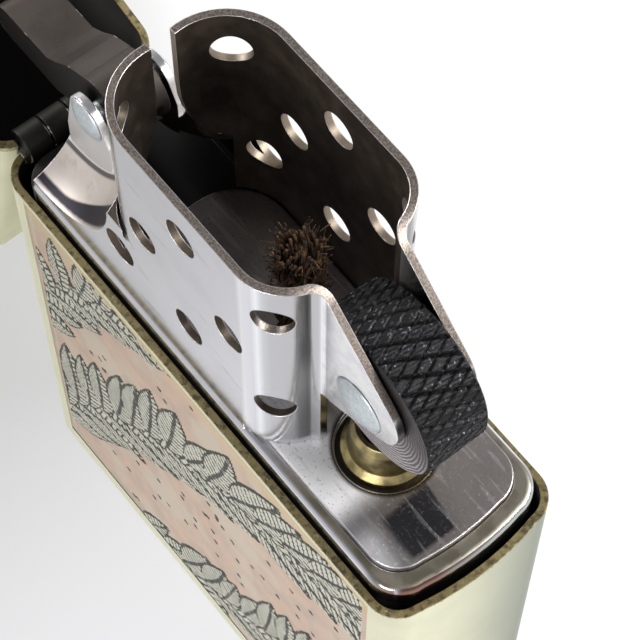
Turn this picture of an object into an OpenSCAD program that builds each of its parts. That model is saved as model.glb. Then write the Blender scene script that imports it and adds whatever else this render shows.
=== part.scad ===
// Windproof petrol lighter: a sheet metal case with a hinged lid, round an insert
// that holds the fuel, the wick, the flint and the striking wheel.
// Millimetres. +X runs from the hinge to the wheel, -Y is the decorated front, +Z is up.
// The origin is at the middle of the case's bottom face. The lid is drawn open.

/* [Case and lid] */
// Width of the case, from the hinge side to the wheel side
case_w = 36.6; // [36:0.1:40]
// Thickness of the case, front to back
case_d = 12; // [11.6:0.1:14]
// Height of the case without its lid
case_h = 34.5; // [32:0.5:40]
// Height of the lid
lid_h = 22.4; // [21.5:0.1:26]
// Gap between the case and the closed lid
lid_gap = 0.1; // [0.05:0.05:0.3]
// Sheet thickness of the case and the lid
case_wall = 0.45; // [0.4:0.05:0.5]
// Radius of the upright corners
case_corner = 2; // [1.6:0.1:2.6]
// Radius of the case's slightly bulged end, on the wheel side
end_r = 19; // [17:0.5:30]
// Rounding of the bottom edge of the case
foot_round = 0.8; // [0.5:0.1:1.2]
// Rounding of the top edge of the lid
lid_round = 1.3; // [0.8:0.1:1.6]
// Angle through which the lid opens
lid_open = 164; // [120:1:170]

/* [Front panel] */
// Bare margin at each side of the decorated plate
panel_side = 2.5; // [2.5:0.1:6]
// Thickness of the decorated plate
panel_t = 0.22; // [0.15:0.01:0.3]
// How far the plate stands proud of the case
panel_proud = 0.06; // [0:0.01:0.1]
// Bare margin under the plate
panel_foot = 1.4; // [1:0.1:4]
// Bare margin over the plate
panel_head = 0.5; // [0.3:0.1:4]

/* [Hinge] */
// Outer radius of the hinge knuckles
knuckle_r = 1.1; // [0.95:0.05:1.15]
// Radius of the hinge pin
hinge_pin_r = 0.5; // [0.4:0.05:0.6]
// Length of the row of five knuckles
knuckle_row = 8.4; // [6:0.2:9]
// Gap between neighbouring knuckles
knuckle_gap = 0.1; // [0.05:0.01:0.2]
// Height of the hinge axis above the rim of the case
hinge_rise = 0.5; // [0.4:0.05:0.7]
// Thickness of the hinge leaves
leaf_t = 0.35; // [0.3:0.05:0.4]
// Height of each hinge leaf
leaf_h = 7; // [4:0.5:9]

/* [Insert] */
// Clearance between the insert and the case, front and back
insert_play = 0.15; // [0.1:0.05:0.3]
// Clearance between the insert and the case on the wheel side
insert_tip_play = 0.3; // [0.2:0.05:0.5]
// Height of the insert above the case's bottom, where the rounded foot lets it go no lower
insert_lift = 0.25; // [0.25:0.05:0.4]
// Clearance between the insert and the hinge leaf in the case
insert_end_play = 0.43; // [0.3:0.01:0.8]
// Sheet thickness of the insert
sheet = 0.45; // [0.35:0.05:0.5]
// Radius of the insert's upright corners
insert_corner = 2.1; // [1.7:0.1:2.4]
// How far the folded rim of the insert stands above the case
fold_rise = 1.4; // [1.2:0.1:2]
// Rounding of that folded rim
fold_round = 0.4; // [0.2:0.05:0.44]
// Depth of the folded rim
fold_h = 1; // [0.8:0.1:1.4]
// Width of the folded rim beside the deck plate, on the wheel side
ledge_w = 1.1; // [0.9:0.05:1.3]
// How far the chimney's walls stand in from the tank's
wall_in = 0.15; // [0.1:0.05:0.3]
// How far the raised deck plate stands above the folded rim
deck_rise = 0.5; // [0.3:0.05:0.55]
// Thickness of the deck plate
deck_t = 0.6; // [0.55:0.05:0.8]
// Radius of the deck plate's corners
deck_corner = 2; // [1.5:0.1:2.4]
// Gap between the deck plate and the walls round it
deck_play = 0.1; // [0.1:0.01:0.15]
// Narrowest gap between pieces that are fitted together by hand
fit_gap = 0.05; // [0.03:0.01:0.08]

/* [Chimney] */
// Height of the chimney above the folded rim
chimney_h = 17.8; // [17:0.1:19]
// Outer radius of the curled edges on the hinge side
curl_r = 4.05; // [3.8:0.05:4.1]
// Distance from the cam's pivot to where the curl begins
curl_in = 8.1; // [8:0.05:8.3]
// Half width of the slit between the curled edges
curl_slit = 0.75; // [0.5:0.05:1]
// Height of the round corner that is cut from the foot of each curled edge
curl_cut = 7.5; // [6:0.5:8]
// Outer radius of the bend towards the wheel
bend_r = 3.1; // [3:0.05:3.2]
// Distance from the wheel's axle back to where that bend begins
bend_in = 6.3; // [6.2:0.05:6.4]
// Outer radius of the bend back into the wheel ears
rebend_r = 0.8; // [0.7:0.05:1]
// Radius of the wind holes
hole_r = 1.15; // [0.8:0.05:1.3]
// Distance from the middle row of wind holes to the rows over and under it
hole_row = 4.85; // [4:0.05:4.9]
// Distance from the chimney's middle to the holes of the middle row
hole_step = 3.64; // [3.2:0.02:3.8]
// Height of the middle row of holes above the folded rim
hole_mid_h = 9.95; // [9.6:0.05:10.2]
// Angle of the upper hole in the curled edge, from the X axis
curl_hole_angle = 139; // [132:1:142]
// Angle of the lower hole in the curled edge, from the X axis
curl_low_angle = 112; // [106:1:118]
// Angle of the holes in the bend towards the wheel, from the X axis
bend_hole_angle = 51; // [48:1:55]

/* [Wheel and flint] */
// Radius of the striking wheel
wheel_r = 4.8; // [4.2:0.05:4.85]
// Width of the striking wheel
wheel_w = 3.9; // [3.4:0.05:4]
// Distance from the insert's wheel end to the wheel's axle
wheel_in = 7.1; // [7:0.05:7.2]
// Height of the wheel's axle above the folded rim
wheel_rise = 10; // [9.8:0.05:10.4]
// Number of grooves that cross the wheel's tread
wheel_grooves = 36; // [24:2:44]
// Depth of those grooves
groove_depth = 0.18; // [0.1:0.01:0.25]
// Radius of the wheel's axle rivet
axle_r = 0.8; // [0.6:0.05:1]
// Running clearance on the rivets and on the hinge pin
pin_play = 0.05; // [0.02:0.01:0.09]
// Radius of the flint
flint_r = 1.2; // [1:0.05:1.25]
// Length of the flint
flint_l = 5; // [3:0.1:6]
// Clearance of the flint in its tube
flint_play = 0.08; // [0.03:0.01:0.1]
// Gap between the flint and the wheel
strike_gap = 0.06; // [0.03:0.01:0.1]
// Distance from the wheel's axle back to the flint tube
tube_in = 0.55; // [0.45:0.05:0.6]
// Wall of the flint tube
tube_wall = 0.5; // [0.4:0.05:0.6]
// How far the tube's mouth stands above the deck plate
tube_rise = 2.9; // [2:0.1:3.2]
// How far the tube's flange reaches past its wall
flange_reach = 0.7; // [0.5:0.05:0.8]
// Depth of the recess that the flange sits in
flange_seat = 0.3; // [0.2:0.05:0.35]
// Length of the screw's thread
screw_l = 6; // [4:0.5:8]
// Thickness of the screw's head
screw_head_t = 1.2; // [1:0.1:1.6]
// Wire radius of the flint spring
spring_wire_r = 0.19; // [0.15:0.01:0.2]
// Turns of the flint spring
spring_turns = 20; // [10:1:22]

/* [Cam] */
// Width of the lid cam
cam_w = 3.2; // [2.8:0.1:3.6]
// Sheet thickness of the cam
cam_sheet = 0.45; // [0.3:0.05:0.5]
// Distance from the insert's hinge end to the cam's pivot
cam_in = 4.05; // [3.9:0.05:4.2]
// Height of the cam's pivot above the folded rim
cam_rise = 7.2; // [7:0.1:7.4]
// Radius of the cam's hub
cam_hub_r = 2.1; // [1.9:0.05:2.2]
// Reach of the cam's arm from its pivot
cam_reach = 10.4; // [9:0.1:10.6]
// Depth of the cam's arm
cam_deep = 2.5; // [2.2:0.1:2.7]
// Radius of the cam's rivet
cam_rivet_r = 0.6; // [0.5:0.05:0.8]
// Thickness of the cam's flat spring
cam_spring_t = 0.3; // [0.2:0.05:0.4]
// Depth to which that spring stands below the folded rim
cam_spring_l = 9; // [7:0.5:12]
// Distance from the cam's pivot down to the spring's bend
cam_spring_drop = 4.2; // [4.1:0.05:4.3]

/* [Saddles] */
// Radius of the scoop's outline on the insert's wall
scoop_r = 8; // [7.8:0.1:8.2]
// Height of the scoop's middle above the folded rim
scoop_rise = 8.3; // [8.1:0.1:8.4]
// How far the scoop narrows between the wall and the ear
scoop_step = 1.95; // [1.8:0.05:2.1]
// Radius of the scoop's hollow section
scoop_hollow_r = 5.4; // [4.5:0.1:8]
// Gap between the saddles and the curled edges of the chimney
saddle_slit = 0.15; // [0.15:0.01:0.25]
// Distance from the cam's pivot down to the foot of that gap in the scoops
slit_drop = 1.6; // [1.3:0.1:1.9]
// Height of the saddles' walls above the folded rim
saddle_h = 7.6; // [7.4:0.1:7.8]
// Height of the gap's foot in those walls above the folded rim
wall_slit_h = 7; // [6.7:0.1:7.2]

/* [Ears] */
// Outer distance across each pair of ears
ear_span = 5.1; // [5:0.05:5.3]
// Radius of the rounded tip of the wheel ears
wheel_ear_r = 2.45; // [2.2:0.05:2.6]
// Radius of the shoulder from the chimney's top down to the wheel ears
shoulder_r = 3; // [1:0.5:4]
// Radius of the rounded top of the cam ears
cam_ear_r = 1.5; // [1.3:0.05:1.7]
// Radius of the head of the wheel's rivet
wheel_head_r = 1.75; // [1.4:0.05:1.9]
// Radius of the head of the cam's rivet
cam_head_r = 1.4; // [1.2:0.05:1.6]
// Height of the rivet heads
head_h = 0.4; // [0.3:0.05:0.45]

/* [Filling] */
// Radius of the wick
wick_r = 1.5; // [1:0.1:1.6]
// Distance from the wheel's axle back to the wick
wick_in = 8.05; // [7.5:0.05:11]
// Height of the wick's lower end above the felt pad
wick_lift = 4; // [2:0.5:8]
// Height of the wick above the deck plate
wick_h = 13; // [6:0.5:14]
// Thickness of the felt pad
felt_t = 2; // [1.5:0.1:3]
// Clearance round the packing and the felt pad
packing_play = 0.15; // [0.1:0.05:0.3]

/* [Hidden] */
$fn = 64;

// A length by which cuts run past what they cut
past = 1;
// Gap between the faces of two pieces that rest on each other
face_gap = 0.02;
crossing = 0.03;

case_inner_w = case_w - 2 * case_wall;
case_inner_d = case_d - 2 * case_wall;
hinge_x = -case_w / 2;
hinge_z = case_h + hinge_rise;
lid_z = case_h + lid_gap;
notch_r = knuckle_r + 0.15;
knuckle_l = (knuckle_row - 4 * knuckle_gap) / 5;
leaf_x = hinge_x + case_wall + face_gap;
bulge_x = case_w / 2 - end_r;
panel_w = case_w - 2 * panel_side;
panel_z0 = foot_round + panel_foot;
panel_z1 = case_h - panel_head;

insert_left = leaf_x + leaf_t + insert_end_play;
insert_right = case_inner_w / 2 - insert_tip_play;
insert_w = insert_right - insert_left;
insert_mid = (insert_left + insert_right) / 2;
insert_d = case_inner_d - 2 * insert_play;
insert_z = case_wall + insert_lift;
fold_z = case_h + fold_rise;
seat_z = fold_z - fold_h;
floor_z = seat_z - sheet;
deck_z = fold_z + deck_rise;
deck_under = deck_z - deck_t;
cam_x = insert_left + cam_in;
curl_x = cam_x + curl_in;
wheel_x = insert_right - wheel_in;
bend_x = wheel_x - bend_in;
tube_x = wheel_x - tube_in;
wall_y = insert_d / 2 - wall_in;
deck_right = insert_right - ledge_w;
deck_d = 2 * (wall_y - sheet - deck_play);

chimney_z = fold_z + chimney_h;
skirt_z = deck_z + fit_gap;
curl_y = wall_y - curl_r;
bend_y = wall_y - bend_r;
ear_y = ear_span / 2;
rebend_y = ear_y + rebend_r;
rebend_x = bend_x + sqrt(pow(bend_r + rebend_r, 2) - pow(rebend_y - bend_y, 2));
skirt_x = rebend_x - 0.35;
hole_z = fold_z + hole_mid_h;
hole_mid_x = (curl_x + bend_x) / 2;
wick_x = wheel_x - wick_in;

wheel_z = fold_z + wheel_rise;
ear_foot_z = wheel_z - 3.4;
tube_r = flint_r + flint_play;
tube_out_r = tube_r + tube_wall;
tube_top = deck_z + tube_rise;
flange_r = tube_out_r + flange_reach;
recess_r = flange_r + 0.35;
screw_z = insert_z + 0.6;
tube_bottom = screw_z + screw_head_t + face_gap;
screw_head_r = tube_out_r + 0.6;
flint_top = wheel_z - wheel_r - strike_gap;
plunger_head_l = 1.2;
plunger_stem_l = 2.5;
spring_top = flint_top - flint_l - face_gap - plunger_head_l;
spring_bottom = tube_bottom + screw_l;
spring_r = tube_r - 0.12 - spring_wire_r;
spring_pitch = (spring_top - spring_bottom - 2 * (spring_wire_r + face_gap)) / spring_turns;
spring_points_per_turn = 8;

cam_z = fold_z + cam_rise;
arm_top = 0.95 - cam_hub_r;
saddle_x = insert_left + insert_corner - sheet;
scoop_z = fold_z + scoop_rise;
slit_foot = cam_z - slit_drop;
wall_slit_z = fold_z + wall_slit_h;
curl_corner_l = 0.3 * curl_r;
cam_spring_w = cam_w - 0.4;
cam_spring_x = insert_left + sheet + face_gap;
cam_spring_foot = fold_z - cam_spring_l;

felt_z = insert_z + 0.3;
fill_w = insert_w - 2 * (sheet + packing_play);
fill_d = insert_d - 2 * (sheet + packing_play);
fill_corner = insert_corner - sheet - packing_play;
fill_z = felt_z + felt_t + fit_gap;
fill_top = floor_z - packing_play;
wick_bottom = fill_z + wick_lift;

pale_plate = [0.88, 0.87, 0.76];
worn_brass = [0.55, 0.43, 0.22];
polished = [0.78, 0.77, 0.80];
dull_steel = [0.42, 0.39, 0.38];
rivet_grey = [0.74, 0.78, 0.78];
charcoal = [0.13, 0.13, 0.14];
copper_pink = [0.80, 0.60, 0.48];
cotton_white = [0.90, 0.87, 0.78];

echo(spring_least_gap = norm(coil_point(1) - coil_point(0)) - 2 * spring_wire_r);

// The end of a plan on the wheel side is an arc round [bulge_x, 0], so that plans nest evenly
function arc_r(w) = w / 2 - bulge_x;

// Place along X of the corners' centres on that side. The corners cross the arc instead of touching it
function corner_x(w, d, r) = bulge_x + sqrt(pow(arc_r(w) - r, 2) - pow(d / 2 - r, 2)) + crossing;

// Half width of the arc, up to where the corners take over
function arc_y(w, d, r) = (d / 2 - r) * arc_r(w) / (arc_r(w) - r);

// Outline of the case and of what nests in it
module round_plan(w, d, r) {
  far_x = corner_x(w, d, r);
  translate([-w / 2 + r, -d / 2]) square([w / 2 - r + far_x, d]);
  translate([-w / 2, -d / 2 + r]) square([w / 2, d - 2 * r]);
  intersection() {
    translate([bulge_x, 0]) circle(arc_r(w));
    translate([0, -arc_y(w, d, r)]) square([w, 2 * arc_y(w, d, r)]);
  }
  for (x = [-w / 2 + r, far_x], s = [-1, 1]) translate([x, s * (d / 2 - r)]) circle(r);
}

// Side view of a box whose lower edges have radius e
module tub_side(w, h, e) {
  translate([-w / 2, e]) square([w, h - e]);
  translate([-w / 2 + e, 0]) square([w - 2 * e, h]);
  for (s = [-1, 1]) translate([s * (w / 2 - e), e]) circle(e);
}

// A round tub of radius r with a lower edge of radius e
module round_tub(r, h, e) {
  rotate_extrude() intersection() {
    tub_side(2 * r, h, e);
    square([r, h]);
  }
}

// A box on that outline, with lower edges of radius e
module tub(w, d, h, r, e) {
  far_x = corner_x(w, d, r);
  translate([-w / 2 + r, 0, 0]) rotate([90, 0, 90]) linear_extrude(w / 2 - r + far_x)
    tub_side(d, h, e);
  rotate([90, 0, 0]) linear_extrude(d - 2 * r, center = true) intersection() {
    tub_side(w, h, e);
    translate([-w, 0]) square([w, h]);
  }
  intersection() {
    translate([bulge_x, 0, 0]) round_tub(arc_r(w), h, e, $fn = 256);
    translate([0, -arc_y(w, d, r), 0]) cube([w, 2 * arc_y(w, d, r), h]);
  }
  for (x = [-w / 2 + r, far_x], s = [-1, 1]) translate([x, s * (d / 2 - r), 0]) round_tub(r, h, e);
}

// A tub of sheet metal, open above
module open_tub(w, d, h, r, e, wall) {
  difference() {
    tub(w, d, h, r, e);
    translate([0, 0, wall]) tub(w - 2 * wall, d - 2 * wall, h, r - wall, e - wall / 2);
  }
}

// A cylinder along Y, centred on the XZ plane
module cross_bar(x, z, r, l) {
  translate([x, 0, z]) rotate([90, 0, 0]) cylinder(r = r, h = l, center = true);
}

// An outline drawn in X and Z, made l thick along Y
module side_plate(l) {
  rotate([90, 0, 0]) linear_extrude(l, center = true) children();
}

// Turns what is drawn closed into its open place, round the hinge axis
module opened() {
  translate([hinge_x, 0, hinge_z]) rotate([0, -lid_open, 0])
    translate([-hinge_x, 0, -hinge_z]) children();
}

// The same shape at the front and at the back
module both_sides() {
  children();
  mirror([0, 1, 0]) children();
}

// Point where a line from p touches the circle round c, on the chosen side
function touch(p, c, r, side) =
  let (d = p - c, a = atan2(d[1], d[0]) - side * acos(r / norm(d))) c + r * [cos(a), sin(a)];

// Case

module case_shell() color(pale_plate) difference() {
  open_tub(case_w, case_d, case_h, case_corner, foot_round, case_wall);
  hinge_notch();
  panel_slab();
}

// Room for the knuckles in the end walls of the case and the lid
module hinge_notch() {
  cross_bar(hinge_x, hinge_z, notch_r, knuckle_row + 0.4);
}

// The decorated plate, let into the front of the case
module panel_slab() {
  translate([-panel_w / 2, -case_d / 2 - panel_proud, panel_z0])
    cube([panel_w, panel_t, panel_z1 - panel_z0]);
}

module front_panel() color(copper_pink) panel_slab();

// Hinge

module knuckles(which, r, grow) {
  for (k = which) translate([0, (k - 2) * (knuckle_l + knuckle_gap), 0])
    cross_bar(hinge_x, hinge_z, r, knuckle_l + 2 * grow);
}

// Leaf that lies inside the end wall, with its own knuckles round the pin
module hinge_leaf(own, others, foot) {
  difference() {
    union() {
      knuckles(own, knuckle_r, 0);
      difference() {
        translate([leaf_x, -knuckle_row / 2, foot]) cube([leaf_t, knuckle_row, leaf_h]);
        knuckles(others, knuckle_r + knuckle_gap, knuckle_gap);
      }
    }
    cross_bar(hinge_x, hinge_z, hinge_pin_r + pin_play, knuckle_row + past);
  }
}

module case_hinge_leaf() color(dull_steel) hinge_leaf([0, 2, 4], [1, 3], hinge_z + 0.3 - leaf_h);

module lid_hinge_leaf() color(dull_steel) opened() hinge_leaf([1, 3], [0, 2, 4], hinge_z - 0.3);

module hinge_pin() color(dull_steel) cross_bar(hinge_x, hinge_z, hinge_pin_r, knuckle_row);

// Lid

module lid_shell() color(pale_plate) opened() difference() {
  translate([0, 0, lid_z + lid_h]) mirror([0, 0, 1])
    open_tub(case_w, case_d, lid_h, case_corner, lid_round, case_wall);
  hinge_notch();
}

// Insert

// Area inside the chimney and its ears at the front, less t all round
module chimney_area(t) {
  translate([curl_x, -wall_y + t]) square([bend_x - curl_x, wall_y]);
  translate([curl_x, -curl_y]) circle(curl_r - t);
  translate([bend_x, -bend_y]) circle(bend_r - t);
  difference() {
    polygon([[bend_x, -bend_y], [rebend_x, -rebend_y], [wheel_x * 2, -rebend_y], [wheel_x * 2, 0],
      [bend_x, 0]]);
    translate([rebend_x, -rebend_y]) circle(rebend_r + t);
    translate([rebend_x, -rebend_y]) square([wheel_x * 2, rebend_r + t]);
  }
}

// Plan of the sheet at the front, from the curled edge to the end of the ears
module chimney_plan() {
  difference() {
    chimney_area(0);
    chimney_area(sheet);
    translate([-case_w, -curl_slit]) square([case_w + curl_x, case_w]);
    translate([curl_x - past, -ear_y + sheet + fit_gap]) square([case_w, case_w]);
  }
}

// Side view of the chimney with a wheel ear
module chimney_side() {
  tip = [wheel_x + 0.55, wheel_z + 0.95];
  top = [rebend_x - 0.6, chimney_z];
  foot = [rebend_x + 0.4, ear_foot_z];
  left = curl_x - curl_r - past;
  slope_end = touch(top, tip, wheel_ear_r, 1);
  turn = atan2(top[1] - slope_end[1], slope_end[0] - top[0]);
  round_at = top - shoulder_r * [tan(turn / 2), 1];
  steps = 10;
  translate([left, skirt_z]) square([skirt_x - left, ear_foot_z - skirt_z]);
  polygon(concat([[left, ear_foot_z - 0.1], [skirt_x, ear_foot_z - 0.1], foot,
    touch(foot, tip, wheel_ear_r, -1), tip, slope_end],
    [for (k = [0:steps]) let (a = turn * (1 - k / steps)) round_at + shoulder_r * [sin(a), cos(a)]],
    [[left, chimney_z]]));
  translate(tip) circle(wheel_ear_r);
}

// Radial section of a scoop: a hollow curve in the sheet between the wall and the ear
module scoop_section() {
  from = [scoop_r, wall_y];
  to = [scoop_r - scoop_step, ear_y];
  chord = to - from;
  away = [chord[1], -chord[0]] / norm(chord);
  middle = (from + to) / 2 + away * sqrt(pow(scoop_hollow_r, 2) - pow(norm(chord) / 2, 2));
  intersection() {
    difference() {
      translate(middle) circle(scoop_hollow_r + sheet);
      translate(middle) circle(scoop_hollow_r);
    }
    translate([0, ear_y - sheet]) square([scoop_r + past, wall_y - ear_y + sheet]);
  }
}

// Side view of a cam ear, down to the scoop
module cam_ear_side() {
  pivot = [cam_x, cam_z];
  left = [cam_x - 2.15, cam_z - 2.9];
  right = [cam_x + 2, cam_z - 0.7];
  intersection() {
    union() {
      polygon([[left[0], fold_z], [right[0], fold_z], right, touch(right, pivot, cam_ear_r, -1), pivot,
        touch(left, pivot, cam_ear_r, 1), left]);
      translate(pivot) circle(cam_ear_r);
    }
    translate([saddle_x, scoop_z]) circle(scoop_r - scoop_step + sheet);
  }
}

// Wall of a saddle, cut out by its scoop
module saddle_wall_side() {
  difference() {
    translate([saddle_x, floor_z]) square([curl_x - saddle_x, fold_z + saddle_h - floor_z]);
    translate([saddle_x, scoop_z]) circle(scoop_r);
  }
}

module saddle() {
  difference() {
    union() {
      intersection() {
        translate([saddle_x, 0, scoop_z]) rotate([90, 0, 0]) rotate_extrude($fn = 128) scoop_section();
        translate([saddle_x, -case_d, floor_z]) cube([curl_x - saddle_x, case_d, fold_z + saddle_h - floor_z]);
      }
      translate([0, -wall_y + sheet / 2, 0]) side_plate(sheet) saddle_wall_side();
      translate([0, -ear_y + sheet / 2, 0]) side_plate(sheet) cam_ear_side();
    }
    translate([curl_x, -curl_y, wall_slit_z]) cylinder(r = curl_r + saddle_slit, h = chimney_h);
    intersection() {
      translate([curl_x, -curl_y, slit_foot]) cylinder(r = curl_r + saddle_slit, h = chimney_h);
      translate([-case_w, sheet - wall_y, 0]) cube([case_w, case_d, case_h * 2]);
    }
  }
}

// Section in Y and Z of what is cut from the foot of a curled edge, up to a round corner
module curl_corner() {
  steps = 8;
  wide = wall_y - sheet - curl_slit;
  polygon(concat([[-curl_slit + past, seat_z], [-curl_slit + past, slit_foot + curl_cut]],
    [for (k = [0:steps]) [-curl_slit - wide * (1 - cos(90 * k / steps)),
      slit_foot + curl_cut * (1 - sin(90 * k / steps))]],
    [[-curl_slit - wide, seat_z]]));
}

// Wind holes of the front, square to the sheet they go through
module wind_holes() {
  for (s = [-1, 1]) {
    translate([hole_mid_x + s * hole_step, 0, hole_z]) hole_bar(0);
    translate([hole_mid_x, 0, hole_z + s * hole_row]) hole_bar(0);
    translate([bend_x, -bend_y, hole_z + s * hole_row]) hole_bar(90 - bend_hole_angle);
  }
  translate([curl_x, -curl_y, hole_z + hole_row]) hole_bar(90 - curl_hole_angle);
  translate([curl_x, -curl_y, hole_z - hole_row]) hole_bar(90 - curl_low_angle);
}

module hole_bar(turn) {
  rotate([90, 0, turn]) cylinder(r = hole_r, h = wall_y + past);
}

module tank_inside() {
  translate([insert_mid, 0])
    round_plan(insert_w - 2 * sheet, insert_d - 2 * sheet, insert_corner - sheet);
}

// Tank with its rim folded in, cut down to its floor under the cam, with a slot for the cam's spring
module tank() {
  difference() {
    translate([insert_mid, 0, fold_z]) mirror([0, 0, 1])
      tub(insert_w, insert_d, fold_z - insert_z, insert_corner, fold_round);
    translate([0, 0, insert_z - past]) linear_extrude(floor_z - insert_z + past) tank_inside();
    translate([0, 0, floor_z - past]) linear_extrude(fold_h + sheet + 2 * past) deck_outline(fit_gap);
    translate([0, 0, seat_z]) linear_extrude(fold_h + past) intersection() {
      tank_inside();
      translate([-case_w, -case_d]) square([case_w + curl_x, case_d * 2]);
    }
    translate([insert_left - past, -case_d, seat_z])
      cube([saddle_x - insert_left + past, 2 * case_d, fold_h + past]);
    translate([cam_spring_x, -cam_spring_w / 2 - fit_gap, floor_z - past])
      cube([cam_spring_t + fit_gap, cam_spring_w + 2 * fit_gap, sheet + 2 * past]);
  }
}

module insert_shell() color(polished) difference() {
  union() {
    tank();
    both_sides() {
      difference() {
        intersection() {
          translate([0, 0, seat_z]) linear_extrude(chimney_z - seat_z) chimney_plan();
          side_plate(insert_d) chimney_side();
        }
        translate([curl_x - curl_r - past, 0, 0]) rotate([90, 0, 90]) linear_extrude(curl_corner_l + past)
          curl_corner();
      }
      translate([curl_x, -wall_y, seat_z]) cube([bend_x - curl_x, sheet, skirt_z - seat_z + fit_gap]);
      saddle();
    }
  }
  both_sides() wind_holes();
  cross_bar(wheel_x, wheel_z, axle_r + pin_play, insert_d);
  cross_bar(cam_x, cam_z, cam_rivet_r + pin_play, insert_d);
}

// Outline of the deck plate, which ends inside the curled edges of the chimney
module deck_outline(play) {
  intersection() {
    translate([insert_mid, 0])
      round_plan(2 * (deck_right - insert_mid + play), deck_d + 2 * play, deck_corner + play);
    translate([curl_x, -case_d]) square([case_w, 2 * case_d]);
  }
  for (s = [-1, 1]) translate([curl_x, s * curl_y]) circle(curl_r - sheet - deck_play + play);
  translate([curl_x - curl_r + sheet + deck_play - play, -curl_y]) square([curl_r, 2 * curl_y]);
}

module deck_plate() color(dull_steel) difference() {
  translate([0, 0, deck_under]) linear_extrude(deck_t) deck_outline(0);
  translate([tube_x, 0, deck_under - past]) cylinder(r = tube_out_r + fit_gap, h = deck_t + 2 * past);
  translate([tube_x, 0, deck_z - flange_seat]) cylinder(r = recess_r, h = flange_seat + past);
  translate([wick_x, 0, deck_under - past]) cylinder(r = wick_r + packing_play, h = deck_t + 2 * past);
}

// Cam

// Side view of the cam: a hub with an arm that reaches over the hinge
module cam_side() {
  nose_r = cam_deep / 2;
  nose_x = -cam_reach + nose_r;
  circle(cam_hub_r);
  translate([nose_x, arm_top - nose_r]) circle(nose_r);
  polygon(concat([[nose_x, arm_top - cam_deep], [-4.6, arm_top - cam_deep], [-2, -cam_hub_r - 0.2],
    [0, -cam_hub_r + 0.1]], cam_top_line(0), [[nose_x, arm_top]]));
}

// Upper edge of the cam, from the middle of the hub to the arm, lowered by drop
function cam_top_line(drop) = [[0, cam_hub_r - 0.5 - drop], [-1.4, cam_hub_r - 0.45 - drop],
  [-3, 0.8 - drop], [-4.2, -0.3 - drop], [-5.2, arm_top + 0.15 - drop]];

// Room between the cam's two cheeks, open below and behind the hub
module cam_room() {
  nose_x = -cam_reach + cam_deep / 2;
  low = arm_top - cam_deep - past;
  polygon(concat([[nose_x, low], [cam_hub_r + past, low], [cam_hub_r + past, 0]],
    cam_top_line(cam_sheet), [[nose_x, arm_top - cam_sheet]]));
}

module cam() color(dull_steel) translate([cam_x, 0, cam_z]) difference() {
  side_plate(cam_w) cam_side();
  side_plate(cam_w - 2 * cam_sheet) cam_room();
  cross_bar(0, 0, cam_rivet_r + pin_play, cam_w + past);
}

// A rivet across a pair of ears, with a domed head on each outer face
module ear_rivet(x, z, r, head_r) {
  cross_bar(x, z, r, ear_span + 2 * face_gap);
  both_sides() translate([x, -ear_y - face_gap, z]) rotate([90, 0, 0]) rivet_head(head_r);
}

module rivet_head(r) {
  ball_r = (r * r + head_h * head_h) / (2 * head_h);
  intersection() {
    cylinder(r = r, h = head_h);
    translate([0, 0, head_h - ball_r]) sphere(ball_r, $fn = 128);
  }
}

module cam_rivet() color(rivet_grey) ear_rivet(cam_x, cam_z, cam_rivet_r, cam_head_r);

module wheel_rivet() color(rivet_grey) ear_rivet(wheel_x, wheel_z, axle_r, wheel_head_r);

// Flat spring that stands inside the end wall and bears on the cam's hub from below
module cam_spring() color(dull_steel) {
  bend = [cam_spring_x, cam_z - cam_spring_drop];
  reach = [cam_x, cam_z] - bend;
  bear_r = cam_hub_r + fit_gap;
  a = atan2(reach[1], reach[0]) - asin(bear_r / norm(reach));
  end = bend + (sqrt(pow(norm(reach), 2) - pow(bear_r, 2)) + 0.4) * [cos(a), sin(a)];
  side_plate(cam_spring_w) polygon([[cam_spring_x, cam_spring_foot], bend, end,
    end + cam_spring_t * [sin(a), -cos(a)],
    bend + cam_spring_t * [1, -(1 - sin(a)) / cos(a)],
    [cam_spring_x + cam_spring_t, cam_spring_foot]]);
}

// Wheel and flint

module striking_wheel() color(charcoal) translate([wheel_x, 0, wheel_z]) difference() {
  rotate([90, 0, 0]) cylinder(r = wheel_r, h = wheel_w, center = true);
  cross_bar(0, 0, axle_r + pin_play, wheel_w + past);
  for (k = [0 : wheel_grooves - 1]) rotate([0, k * 360 / wheel_grooves, 0])
    translate([0, 0, wheel_r]) rotate([0, 45, 0])
      cube([groove_depth * sqrt(2), wheel_w + past, groove_depth * sqrt(2)], center = true);
}

module flint_tube() color(worn_brass) translate([tube_x, 0, 0]) rotate_extrude() difference() {
  seat = deck_z - flange_seat + face_gap;
  union() {
    translate([0, tube_bottom]) square([tube_out_r, tube_top - tube_bottom]);
    polygon([[0, seat], [flange_r, seat], [flange_r, deck_z + 0.2], [tube_out_r + 0.35, deck_z + 0.6],
      [tube_out_r + 0.2, tube_top - 0.5], [tube_out_r, tube_top], [0, tube_top]]);
  }
  translate([0, tube_bottom - past]) square([tube_r, tube_top - tube_bottom + 2 * past]);
  polygon([[0, tube_top - 0.4], [tube_r, tube_top - 0.4], [tube_r + 0.25, tube_top], [0, tube_top]]);
}

module flint() color(charcoal) translate([tube_x, 0, flint_top - flint_l])
  cylinder(r = flint_r, h = flint_l);

module flint_plunger() color(worn_brass) translate([tube_x, 0, spring_top]) {
  cylinder(r = flint_r, h = plunger_head_l);
  translate([0, 0, -plunger_stem_l])
    cylinder(r = spring_r - spring_wire_r - 0.15, h = plunger_stem_l + face_gap);
}

// Point of the spring's centre line after so many turns
function coil_point(turn) = [spring_r * cos(360 * turn), spring_r * sin(360 * turn),
  spring_bottom + spring_wire_r + face_gap + spring_pitch * turn];

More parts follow.
